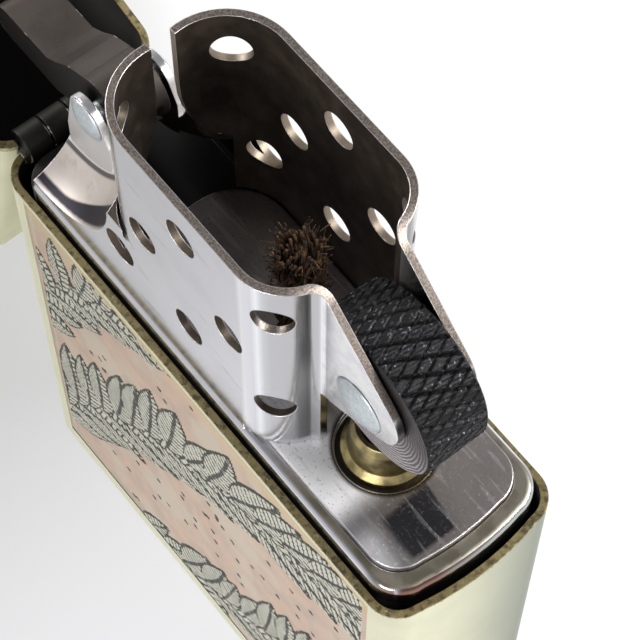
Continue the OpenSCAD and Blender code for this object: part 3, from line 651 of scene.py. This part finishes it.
deckValues = {
    "warm": (0.34, 0.305, 0.285), "grey": (0.36, 0.35, 0.36), "pale": (0.82, 0.81, 0.82),
    "bright": (0.9, 0.89, 0.9), "dark": (0.04, 0.04, 0.048), "pit": (0.055, 0.05, 0.05),
    "paintedGlint": (0.3, 0.3, 0.32), "scratched": (0.62, 0.6, 0.6), "recessShade": (0.035, 0.028, 0.02),
    "edge": (0.86, 0.85, 0.85),
    "tubeX": 9.9, "recess": (3.2, 2.9), "edgeRadius": 0.14,
    # the painted dark reflection patch and the painted reflection tones round it, in mm
    "patchFrom": (12.7, 13.3), "patchTo": (16.0, 15.7), "patchFront": (-3.3, -2.8), "patchBack": (0.3, 0.05),
    "patchMiddle": 13.7, "shadeMiddle": 8.0, "shadeY": (-2.6, -3.6), "shadeX": (9.0, 13.0),
    "paleFrom": (12.6, 14.0), "paleTo": (15.4, 16.2), "greyY": (-2.0, -4.6), "brightX": (12.6, 10.8),
    "brightY": (-1.0, -2.4)}


def deckFinish(v):
    # worn satin plate with a painted dark reflection patch with painted glints, painted pale and bright
    # reflections, painted shade in the recess round the tube, fine pits and bevelled edges with painted
    # highlights
    f = Finish("deckSheet", metallic=1.0)
    cloud = f.noise(0.35, 4.0, rough=0.6)
    pits = f.noise(5.5, 5.0, rough=0.65).step(0.58, 0.66)
    fine = f.noise(12.0)
    lines = f.scratches(9.0, 2.2, (0.0, 0.0, 0.5)).most(f.scratches(12.0, 2.8, (0.0, 0.0, -0.4)))
    normal, edge = f.softEdge(v["edgeRadius"])
    wobble = (cloud - 0.5) * 0.8
    patch = (f.x + wobble).step(*v["patchFrom"]) * (f.x + wobble * 0.5).step(*v["patchTo"])
    patch = patch * (f.y + wobble).step(*v["patchFront"])
    patch = patch * (f.y + (f.x - v["patchMiddle"]) * 0.15).step(*v["patchBack"])
    # painted reflections: a pale band by the patch and a bright band towards the chimney
    shade = (f.y + (f.x - v["shadeMiddle"]) * 0.1).step(*v["shadeY"]) * f.x.step(*v["shadeX"])
    colour = f.mix(cloud.step(0.4, 0.65), v["warm"], darker(v["warm"], 0.82))
    colour = f.mix(f.y.step(*v["greyY"]), colour, v["grey"])
    colour = f.mix(shade * f.x.step(*v["paleFrom"]) * (1.0 - f.x.step(*v["paleTo"])), colour, v["pale"])
    bright = (f.x + wobble).step(*v["brightX"]) * f.y.step(*v["brightY"])
    colour = f.mix(bright, colour, v["bright"])
    # painted dark reflection in the patch, with painted glints
    colour = f.mix(patch * 0.93, colour, v["dark"])
    colour = f.mix(pits * 0.55, colour, v["pit"])
    paintedGlints = f.noise(4.5, 4.0).step(0.62, 0.68) * patch
    colour = f.mix(paintedGlints * 0.4, colour, v["paintedGlint"])
    colour = f.mix(lines * 0.3, colour, v["scratched"])
    around = f.vector("DISTANCE", f.joined(f.x, f.y, 0.0), (v["tubeX"], 0.0, 0.0), out=1)
    # painted shade in the recess round the tube
    colour = f.mix(around.step(*v["recess"]) * (1.0 - edge), colour, v["recessShade"])
    f.feed("Metallic", 1.0 - bright * (0.25 + cloud * 0.6))
    # painted highlight on the bevelled edges
    f.paint(f.mix(edge * 0.85, colour, v["edge"]), 0.26 + fine * 0.12 + pits * 0.2 + cloud * 0.1,
            f.bump(fine * 0.4 - pits * 0.6 + lines * 0.4, 0.16, 0.04, normal))
    return f


dress(["insert_shell"], insertFinish(insertValues))
dress(["deck_plate"], deckFinish(deckValues))


# rivets, tube and the flint's parts

rivetValues = {"face": (0.62, 0.67, 0.69), "faceDark": (0.5, 0.54, 0.56), "pit": (0.2, 0.2, 0.2),
               "edge": (0.85, 0.88, 0.9), "edgeRadius": 0.18, "nodes": ("cam_rivet", "wheel_rivet")}
brassValues = {"yellow": (0.5, 0.41, 0.19), "olive": (0.22, 0.18, 0.085), "edge": (0.74, 0.66, 0.4),
               "edgeRadius": 0.12, "nodes": ("flint_tube", "flint_plunger", "flint_screw")}
plainValues = [
    {"name": "flintStone", "colour": (0.09, 0.085, 0.085), "darkShare": 0.6, "roughness": 0.6, "metal": 0.4,
     "grain": 5.0, "nodes": ["flint"]},
    {"name": "springWire", "colour": (0.6, 0.6, 0.62), "darkShare": 0.8, "roughness": 0.25, "metal": 1.0,
     "grain": 3.0, "nodes": ["flint_spring"]}]


def rivetFinish(v):
    # matt pale metal with fine pits and painted highlights on its edges
    f = Finish("rivetSteel", metallic=0.85)
    fine = f.noise(5.0, 4.0)
    pits = f.noise(8.0, 2.0).step(0.66, 0.72)
    normal, edge = f.softEdge(v["edgeRadius"])
    colour = f.mix(fine.step(*fade["broad"]), v["face"], v["faceDark"])
    colour = f.mix(pits * 0.6, colour, v["pit"])
    f.paint(f.mix(edge * 0.6, colour, v["edge"]), 0.36 + fine * 0.12,
            f.bump(fine - pits * 0.6, 0.2, 0.06, normal))
    return f


def brassFinish(v):
    # tarnished olive brass, yellow where it is rubbed, lighter on its edges from wear and painted highlight
    f = Finish("tubeBrass", metallic=1.0)
    cloud = f.noise(1.1, 4.0)
    fine = f.noise(8.0)
    normal, edge = f.softEdge(v["edgeRadius"])
    colour = f.mix(cloud.step(*fade["middle"]), v["yellow"], v["olive"])
    f.paint(f.mix(edge * 0.7, colour, v["edge"]), 0.26 + fine * 0.12, f.bump(fine, 0.15, 0.04, normal))
    return f


def plainFinish(v):
    f = Finish(v["name"], metallic=v["metal"])
    grain = f.noise(v["grain"], 4.0)
    colour = f.mix(grain.step(*fade["broad"]), v["colour"], darker(v["colour"], v["darkShare"]))
    f.paint(colour, v["roughness"] + grain * 0.1, f.bump(grain, 0.2, 0.05))
    return f


dress(rivetValues["nodes"], rivetFinish(rivetValues))
dress(brassValues["nodes"], brassFinish(brassValues))
for values in plainValues:
    dress(values["nodes"], plainFinish(values))
print("metal parts dressed")


# striking wheel

wheelValues = {
    "centre": (10.45, 0.0, 45.9), "radius": 4.8, "width": 3.9, "bore": 0.86, "chamfer": 0.14,
    "hub": [(2.2, 0.0), (2.3, 0.05)],  # (radius, depth) of the step in each face
    "rimWidth": 0.25, "rimDepth": 0.02,
    "coarseCount": 30, "coarseLead": 2.05, "coarseDepth": 0.17, "coarseWidth": 0.34,
    "fineCount": 46, "fineLead": -2.9, "fineDepth": 0.11, "fineWidth": 0.4, "grooveShape": 1.3,
    "rippleDepth": 0.02, "ripplesPerGroove": 3, "rippleLean": 5.0, "around": 900, "across": 56,
    "tread": (0.026, 0.026, 0.027), "treadDark": (0.013, 0.013, 0.014), "paintedGlint": (0.26, 0.26, 0.28),
    "faceHigh": (0.045, 0.04, 0.042), "faceLow": (0.17, 0.15, 0.155),
    "ringHigh": (0.12, 0.105, 0.105), "ringLow": (0.62, 0.57, 0.58),
    "faceR": (4.6, 4.72), "treadR": (4.45, 4.74), "lowFrom": (-1.5, 3.2), "rings": 31.0, "ringWobble": 8.0}


def groove(phase, width, shape):
    near = np.abs((phase % 1.0) - 0.5) * 2.0  # 1 in the middle of a groove
    return np.clip((near - (1 - width)) / width, 0, 1) ** shape


def treadRadius(v, angles, y):
    # radius of the tread round the wheel at one place across it
    turns = angles / (2 * math.pi)
    across = y / v["width"]
    coarse = groove(v["coarseCount"] * turns + v["coarseLead"] * across, v["coarseWidth"], v["grooveShape"])
    fine = groove(v["fineCount"] * turns + v["fineLead"] * across, v["fineWidth"], v["grooveShape"])
    ripple = 0.5 + 0.5 * np.sin(v["fineCount"] * v["ripplesPerGroove"] * angles + v["rippleLean"] * y)
    return v["radius"] - v["coarseDepth"] * coarse - v["fineDepth"] * fine - v["rippleDepth"] * ripple


def wheelMesh(v):
    # a section from the bore out over one face, the tread and back, turned round the axle
    half = v["width"] / 2
    edge = v["radius"] - v["chamfer"]
    face = [(v["bore"], -half)] + [(r, -half + depth) for r, depth in v["hub"]]
    face += [(edge - v["rimWidth"], -half), (edge, -half + v["rimDepth"])]
    section = face + [(None, y) for y in np.linspace(-half + v["chamfer"], half - v["chamfer"], v["across"])]
    section += [(r, -y) for r, y in reversed(face)]
    angles = np.linspace(0, 2 * math.pi, v["around"], endpoint=False)
    centre = np.array(v["centre"])
    points = []
    for r, y in section:
        radius = treadRadius(v, angles, y) if r is None else np.full(len(angles), float(r))
        row = [(radius[i] * math.cos(a), y, radius[i] * math.sin(a)) for i, a in enumerate(angles)]
        points += [tuple((centre + np.array(p)) * mm) for p in row]
    return newMesh("strikingWheel", points, gridFaces(len(section), len(angles), closed=True))


def wheelFinish(v):
    # dark tread with small painted glints, and turned faces with painted light that makes them brighter
    # towards their foot
    f = Finish("wheelSteel", metallic=0.9)
    cx, _, cz = v["centre"]
    out = ((f.x - cx) ** 2.0 + (f.z - cz) ** 2.0) ** 0.5
    flank = abs(f.ny).step(0.85, 0.97) * (1.0 - out.step(*v["faceR"]))
    fine = f.noise(10.0)
    wobble = f.noise(1.3, 2.0)
    rings = (out * v["rings"] + wobble * v["ringWobble"]).math("SINE").step(-0.4, 0.9)
    # painted glints on the tread
    paintedGlint = f.noise(5.0).step(0.62, 0.7)
    tread = f.mix(fine, v["tread"], v["treadDark"])
    tread = f.mix(paintedGlint * out.step(*v["treadR"]) * 0.45, tread, v["paintedGlint"])
    # painted light: the turned faces are lighter towards their foot
    litBelow = (cz - f.z).step(*v["lowFrom"])
    face = f.mix(rings, f.mix(litBelow, v["faceHigh"], v["faceLow"]), f.mix(litBelow, v["ringHigh"], v["ringLow"]))
    f.paint(f.mix(flank, tread, face), 0.42 + fine * 0.16 - flank * 0.08,
            f.bump(fine * 0.5 + rings * flank, 0.25, 0.05))
    return f


wheelPiece = newPiece("wheelTread", wheelMesh(wheelValues), wheelFinish(wheelValues),
                      "wheel", smooth=False)
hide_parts("striking_wheel")
print("wheel made")


# decorated plate

panelValues = {
    "halfWidth": 15.8, "bottom": 2.2, "top": 34.0, "back": -5.84, "front": -6.06, "relief": 0.1,
    "pitch": 0.115, "seed": 7,
    "boughs": [  # each with leaves on both sides: two cross the plate from its lower left, two fill corners
        {"start": (-17.5, 3.5), "bend": (-6.0, 26.0), "end": (17.5, 31.5), "count": 17, "long": 7.4},
        {"start": (-9.0, 0.5), "bend": (8.0, 6.0), "end": (17.5, 23.0), "count": 13, "long": 6.2},
        {"start": (-17.5, 17.0), "bend": (-14.0, 31.0), "end": (-2.0, 35.5), "count": 8, "long": 5.6},
        {"start": (4.5, 0.0), "bend": (12.5, 3.5), "end": (17.5, 11.5), "count": 7, "long": 5.0}],
    "spread": 34, "spreadPlay": 9, "size": 0.82, "sizePlay": 0.3, "slim": 0.19, "slimPlay": 0.04,
    "curve": (0.04, 0.13),
    "stemSteps": 90, "stemRadius": 0.42, "stemCore": 0.3, "outline": 0.12,
    "dots": 130, "dotX": 15, "dotZ": (3.5, 32.5), "dotRadius": 0.24,
    "margin": 0.25, "marginFade": 0.3, "frameIn": 0.55, "frameHalf": 0.16,
    "copper": (0.66, 0.46, 0.33), "copperPale": (0.52, 0.4, 0.31), "bare": (0.62, 0.54, 0.42),
    "gold": (0.66, 0.49, 0.24), "goldZ": (31.6, 33.8), "silver": (0.66, 0.65, 0.54),
    "silverDark": (0.54, 0.53, 0.43), "line": (0.034, 0.036, 0.028)}

# one leaf: its outline's shape, its veins and its dome
leafValues = {"bow": 8, "tip": 0.82, "belly": 0.85, "veinLean": 0.13, "veinPitch": 0.62, "veinStart": 0.62,
              "veinRoot": 0.12, "veinTone": 0.85, "ribHalf": 0.11, "ribTone": 0.9, "rimFrom": 0.88,
              "base": 0.55, "dome": 0.45, "cutDepth": 0.35}


def onBough(bough, t):
    # place and direction at share t of a bough's length
    start, bend, end = [np.array(bough[k]) for k in ("start", "bend", "end")]
    place = (1 - t) ** 2 * start + 2 * t * (1 - t) * bend + t * t * end
    return place, 2 * (1 - t) * (bend - start) + 2 * t * (end - bend)


def leafList(v):
    draw = np.random.RandomState(v["seed"])
    leaves = []
    for bough in v["boughs"]:
        for i in range(bough["count"]):
            place, slope = onBough(bough, (i + 0.5) / bough["count"])
            heading = math.atan2(slope[1], slope[0])
            for side in (-1, 1):
                spread = math.radians(v["spread"] + draw.uniform(-v["spreadPlay"], v["spreadPlay"])) * side
                size = bough["long"] * (v["size"] + draw.uniform(0, v["sizePlay"]))
                leaves.append({"x": place[0], "z": place[1], "angle": heading + spread, "long": size,
                               "wide": size * (v["slim"] + draw.uniform(0, v["slimPlay"])),
                               "curve": draw.uniform(*v["curve"]) * side})
    return leaves


def addStems(v, x, z, height, silver, line):
    for bough in v["boughs"]:
        for t in np.linspace(0, 1, v["stemSteps"]):
            place = onBough(bough, t)[0]
            distance = np.hypot(x - place[0], z - place[1])
            stem = distance < v["stemRadius"]
            rim = stem & (distance > v["stemCore"])
            height[stem] = 0.8
            silver[stem] = 1.0
            line[rim] = np.maximum(line[rim], 0.5)


def addLeaf(leaf, v, x, z, height, silver, line):
    # u runs along the leaf from 0 to 1, w across it from its rib
    ca, sa = math.cos(leaf["angle"]), math.sin(leaf["angle"])
    u = ((x - leaf["x"]) * ca + (z - leaf["z"]) * sa) / leaf["long"]
    w = (-(x - leaf["x"]) * sa + (z - leaf["z"]) * ca) / leaf["wide"]
    w = w + leaf["curve"] * v["bow"] * u * (1 - u)
    reach = np.sin(np.pi * np.clip(u, 0.0, 1.0) ** v["tip"]) ** v["belly"] + 1e-6
    inside = (u > 0) & (u < 1) & (np.abs(w) < reach)
    share = np.abs(w) / reach
    vein = np.abs(((u - np.abs(w) * v["veinLean"]) * leaf["long"] / v["veinPitch"]) % 1.0 - 0.5) * 2
    cut = np.where((vein > v["veinStart"]) & (share > v["veinRoot"]), v["veinTone"], 0.0)
    cut = np.maximum(cut, np.where(np.abs(w) < v["ribHalf"], v["ribTone"], 0.0))
    cut = np.maximum(cut, np.where(share > v["rimFrom"], 1.0, 0.0))
    dome = v["base"] + v["dome"] * np.sqrt(np.clip(1 - share ** 2, 0, 1))
    height[inside] = (dome - v["cutDepth"] * cut)[inside]
    silver[inside] = 1.0
    line[inside] = cut[inside]


def addOutline(v, silver, line):
    # a dark line round everything silver
    shift = int(round(v["outline"] / v["pitch"]))
    around = np.zeros_like(silver)
    for down, across in ((0, shift), (0, -shift), (shift, 0), (-shift, 0)):
        around = np.maximum(around, np.roll(silver, (down, across), (0, 1)))
    line[(silver < 0.5) & (around > 0.5)] = 0.9


def addDots(v, x, z, height, silver, line):
    # punched dots on the bare ground
    draw = np.random.RandomState(v["seed"] + 1)
    for _ in range(v["dots"]):
        dotX, dotZ = draw.uniform(-v["dotX"], v["dotX"]), draw.uniform(*v["dotZ"])
        dot = (np.hypot(x - dotX, z - dotZ) < v["dotRadius"]) & (silver < 0.5)
        line[dot] = 0.75
        height[dot] = -0.5


def panelFields(v):
    # height, silver share and line share over the plate, from formulas
    columns = int(2 * v["halfWidth"] / v["pitch"]) + 1
    rows = int((v["top"] - v["bottom"]) / v["pitch"]) + 1
    half = v["halfWidth"]
    x, z = np.meshgrid(np.linspace(-half, half, columns), np.linspace(v["bottom"], v["top"], rows))
    height, silver, line = np.zeros_like(x), np.zeros_like(x), np.zeros_like(x)
    addStems(v, x, z, height, silver, line)
    for leaf in leafList(v):
        addLeaf(leaf, leafValues, x, z, height, silver, line)
    addOutline(v, silver, line)
    addDots(v, x, z, height, silver, line)
    border = np.minimum(half - np.abs(x), np.minimum(z - v["bottom"], v["top"] - z))
    keep = np.clip((border - v["margin"]) / v["marginFade"], 0, 1)
    frameLine = np.clip(1 - np.abs(border - v["frameIn"]) / v["frameHalf"], 0, 1)
    height = height * keep + frameLine * 0.5
    silver = np.maximum(silver * (keep > 0.5), frameLine)
    return x, z, height, silver, line * (keep > 0.5)


def panelMesh(v):
    # the relief in front, closed by straight sides and a flat back that start from its rim
    x, z, height, silver, line = panelFields(v)
    y = v["front"] + v["relief"] - np.clip(height, -0.3, 1.0) * v["relief"]
    order = np.arange(x.size).reshape(x.shape)
    rim = np.concatenate([order[0], order[1:, -1], order[-1, -2::-1], order[-2:0:-1, 0]])
    front = np.stack([x.ravel(), y.ravel(), z.ravel()], axis=1)
    back = front[rim]
    back[:, 1] = v["back"]
    points = [tuple(p) for p in np.concatenate([front, back]) * mm]
    faces = gridFaces(*x.shape)
    for k, a in enumerate(rim):
        n = (k + 1) % len(rim)
        faces.append((int(rim[n]), int(a), x.size + k, x.size + n))
    faces.append(tuple(x.size + k for k in reversed(range(len(rim)))))
    mesh = newMesh("panelPlate", points, faces)
    for name, field in (("silver", silver.ravel()), ("line", line.ravel())):
        layer = mesh.attributes.new(name, "FLOAT", "POINT")
        layer.data.foreach_set("value", np.concatenate([field, field[rim]]).astype(np.float32))
    return mesh


def panelFinish(v):
    # copper ground, silvered relief and dark lines
    f = Finish("panelMetal", metallic=0.8)
    silver = f.node("Attribute", {"attribute_name": "silver"}, {}, "Fac")
    line = f.node("Attribute", {"attribute_name": "line"}, {}, "Fac")
    cloud = f.noise(0.5, 4.0)
    fine = f.noise(7.0)
    rub = f.noise(2.2, 4.0).step(0.52, 0.62)
    nearRim = (f.z + (cloud - 0.5) * 1.6).step(*v["goldZ"])
    bare = f.noise(0.16, 4.0, rough=0.6).step(0.46, 0.6)
    ground = f.mix(cloud.step(*fade["broad"]), v["copper"], v["copperPale"])
    ground = f.mix(bare * 0.75, ground, v["bare"])
    ground = f.mix(nearRim * 0.8, ground, v["gold"])
    plate = f.mix(fine.step(*fade["broad"]), v["silver"], v["silverDark"])
    mark = (line * (1.0 - rub * 0.35)).step(0.25, 0.75)
    colour = f.mix(mark, f.mix(silver, ground, plate), v["line"])
    f.feed("Metallic", 0.8 - mark * 0.5)
    f.paint(colour, 0.34 + fine * 0.12 + mark * 0.2, f.bump(fine, 0.12, 0.04))
    return f


panelPiece = newPiece("panelRelief", panelMesh(panelValues), panelFinish(panelValues), "case")
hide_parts("front_panel")
print("plate made")


# wick, packing and pad

wickValues = {
    "x": 2.4, "bottom": 7.0, "top": 49.2, "radius": 1.36, "seed": 3,
    "strands": 96, "strandRadius": 0.135, "strandSteps": 46, "strandSides": 6, "goldenAngle": 2.39996,
    "twist": 12.1, "topPlay": 2.4, "topRound": 1.3, "lean": 0.22, "looseFrom": 8.0,
    "swell": 0.16, "wave": 0.07, "waveX": 33, "waveY": 27, "knots": 17, "knotSize": 0.25,
    "tipFrom": 0.97, "tipSize": 0.6,
    "fibres": 300, "fibreRadius": 0.03, "fibreSteps": 7, "fibreSides": 4, "fibreZ": (7.2, 0.8),
    "fibreRing": (0.75, 1.05), "fibreRise": (-0.1, 1.3), "fibreCurl": 0.5, "fibreLong": (0.3, 0.8),
    "fibreReach": 0.6, "fibreTop": 0.15,
    "char": (0.018, 0.012, 0.008), "brown": (0.13, 0.068, 0.031), "spot": (0.17, 0.095, 0.04),
    "spotZ": (39.0, 42.0), "clean": (0.72, 0.67, 0.55), "cleanZ": (33.0, 37.0)}


def tubeRows(path, radius, sides):
    # rings of points along a path
    rows = []
    for i, p in enumerate(path):
        ahead = np.array(path[min(i + 1, len(path) - 1)]) - np.array(path[max(i - 1, 0)])
        ahead = ahead / (np.linalg.norm(ahead) + 1e-9)
        sideways = np.cross(ahead, (0.3, 1.0, 0.1))
        sideways /= np.linalg.norm(sideways)
        over = np.cross(ahead, sideways)
        turns = [k * 2 * math.pi / sides for k in range(sides)]
        rows.append([np.array(p) + radius[i] * (math.cos(a) * sideways + math.sin(a) * over) for a in turns])
    return rows


def addTube(vertices, faces, path, radius, sides):
    # a closed tube along a path, added to the lists
    rows = tubeRows(path, radius, sides)
    base = len(vertices)
    for row in rows:
        vertices.extend(tuple(p * mm) for p in row)
    for r in range(len(rows) - 1):
        low, high = base + r * sides, base + (r + 1) * sides
        for k in range(sides):
            n = (k + 1) % sides
            faces.append((low + k, low + n, high + n, high + k))
    last = base + (len(rows) - 1) * sides
    faces.append(tuple(base + k for k in reversed(range(sides))))
    faces.append(tuple(last + k for k in range(sides)))


def strandPath(v, s, draw):
    # one twisted strand, loose towards its top
    ring = math.sqrt((s + 0.5) / v["strands"]) * (v["radius"] - v["strandRadius"])
    top = v["top"] - draw.uniform(0.0, v["topPlay"]) - (ring / v["radius"]) * v["topRound"]
    lean = draw.uniform(-v["lean"], v["lean"], 2)
    path, sizes = [], []
    for i in range(v["strandSteps"]):
        t = i / (v["strandSteps"] - 1)
        z = v["bottom"] + (top - v["bottom"]) * t
        angle = s * v["goldenAngle"] + v["twist"] * t
        loose = max(0.0, (z - v["top"] + v["looseFrom"]) / v["looseFrom"])
        reach = ring * (1.0 + v["swell"] * loose ** 1.5)
        wave = v["wave"] * loose
        px = v["x"] + reach * math.cos(angle) + wave * math.sin(v["waveX"] * t + s) + lean[0] * loose ** 2
        py = reach * math.sin(angle) + wave * math.cos(v["waveY"] * t + 2 * s) + lean[1] * loose ** 2
        path.append((px, py, z))
        knot = 1.0 + v["knotSize"] * math.sin(v["knots"] * t + s)
        sizes.append(v["strandRadius"] * knot * (1.0 if t < v["tipFrom"] else v["tipSize"]))
    return path, sizes


def fibrePath(v, draw):
    # one stray fibre that stands off the wick's side
    angle = draw.uniform(0, 2 * math.pi)
    z = draw.uniform(v["top"] - v["fibreZ"][0], v["top"] - v["fibreZ"][1])
    ring = v["radius"] * draw.uniform(*v["fibreRing"])
    heading = np.array((math.cos(angle), math.sin(angle), draw.uniform(*v["fibreRise"])))
    curl = draw.uniform(-1, 1, 3) * v["fibreCurl"]
    long = draw.uniform(*v["fibreLong"])
    root = np.array((v["x"] + ring * math.cos(angle), ring * math.sin(angle), z))
    path = []
    for i in range(v["fibreSteps"]):
        t = i / (v["fibreSteps"] - 1)
        p = root + heading * long * t * v["fibreReach"] + curl * t * t * long
        p[2] = min(p[2], v["top"] + v["fibreTop"])
        path.append(p)
    return path


def wickMesh(v):
    draw = np.random.RandomState(v["seed"])
    vertices, faces = [], []
    for s in range(v["strands"]):
        path, sizes = strandPath(v, s, draw)
        addTube(vertices, faces, path, sizes, v["strandSides"])
    for _ in range(v["fibres"]):
        addTube(vertices, faces, fibrePath(v, draw), [v["fibreRadius"]] * v["fibreSteps"], v["fibreSides"])
    return newMesh("wickStrands", vertices, faces)


def wickFinish(v):
    # charred at the top, clean below the deck
    f = Finish("wickFibre")
    warm = f.noise(1.5, 4.0)
    fine = f.noise(9.0, 3.0, (1, 1, 0.3))
    spots = f.noise(3.4).step(0.55, 0.64)
    colour = f.mix(warm.step(*fade["middle"]), v["char"], v["brown"])
    colour = f.mix(spots * f.z.step(*v["spotZ"]), colour, v["spot"])
    colour = f.mix(1.0 - f.z.step(*v["cleanZ"]), colour, v["clean"])
    f.paint(colour, 0.9, f.bump(fine, 0.5, 0.05))
    return f


softValues = [
    {"name": "packingFibre", "node": "cotton_packing", "slot": "packing_fibre", "finish": "packingCotton",
     "colour": (0.86, 0.84, 0.76), "fluff": 2.2, "voxel": 0.45, "pull": 0.14, "lumps": 1.1},
    {"name": "feltPad", "node": "felt_pad", "slot": "felt", "finish": "padFelt",
     "colour": (0.78, 0.76, 0.7), "fluff": 5.0, "voxel": 0.3, "pull": 0.08, "lumps": 2.3}]


def clothFinish(v):
    f = Finish(v["finish"])
    fluff = f.noise(v["fluff"], 6.0, rough=0.7)
    strand = f.noise(v["fluff"] * 2.5, 3.0, (1, 0.25, 1))
    colour = f.mix(fluff.step(*fade["broad"]), v["colour"], darker(v["colour"], 0.78))
    f.paint(colour, 0.92, f.bump(fluff + strand, 0.6, 0.15))
    return f


def softMesh(piece, v):
    # the piece's mesh remade in voxels, drawn in a little and lumpy
    remesh = piece.modifiers.new("remesh", "REMESH")
    remesh.mode = "VOXEL"
    remesh.voxel_size = v["voxel"] * mm
    depsgraph = bpy.context.evaluated_depsgraph_get()
    mesh = bpy.data.meshes.new_from_object(piece.evaluated_get(depsgraph))
    piece.modifiers.clear()
    place = np.zeros(len(mesh.vertices) * 3)
    facing = np.zeros(len(mesh.vertices) * 3)
    mesh.vertices.foreach_get("co", place)
    mesh.vertex_normals.foreach_get("vector", facing)
    x, y, z = (place.reshape(-1, 3) / mm).T * v["lumps"]
    wave = np.sin(x + 1.3 * np.sin(z * 0.7)) * np.cos(z * 0.9 + y)
    inward = v["pull"] * (0.55 + 0.45 * wave) * mm
    place = place - facing * np.repeat(inward, 3)
    mesh.vertices.foreach_set("co", place)
    mesh.update()
    return mesh


def softCopy(v):
    # a soft body in the room of its solid
    finish = clothFinish(v)
    piece = newPiece(v["name"], nodes[v["node"]].data.copy(), finish, "case")
    piece.data = softMesh(piece, v)
    piece.data.name = v["name"]
    wear(piece.data, finish)
    piece.data.shade_smooth()
    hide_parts(v["node"])


wickPiece = newPiece("wickBundle", wickMesh(wickValues), wickFinish(wickValues), "case")
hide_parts("wick")
for values in softValues:
    softCopy(values)
print("wick, packing and pad made")
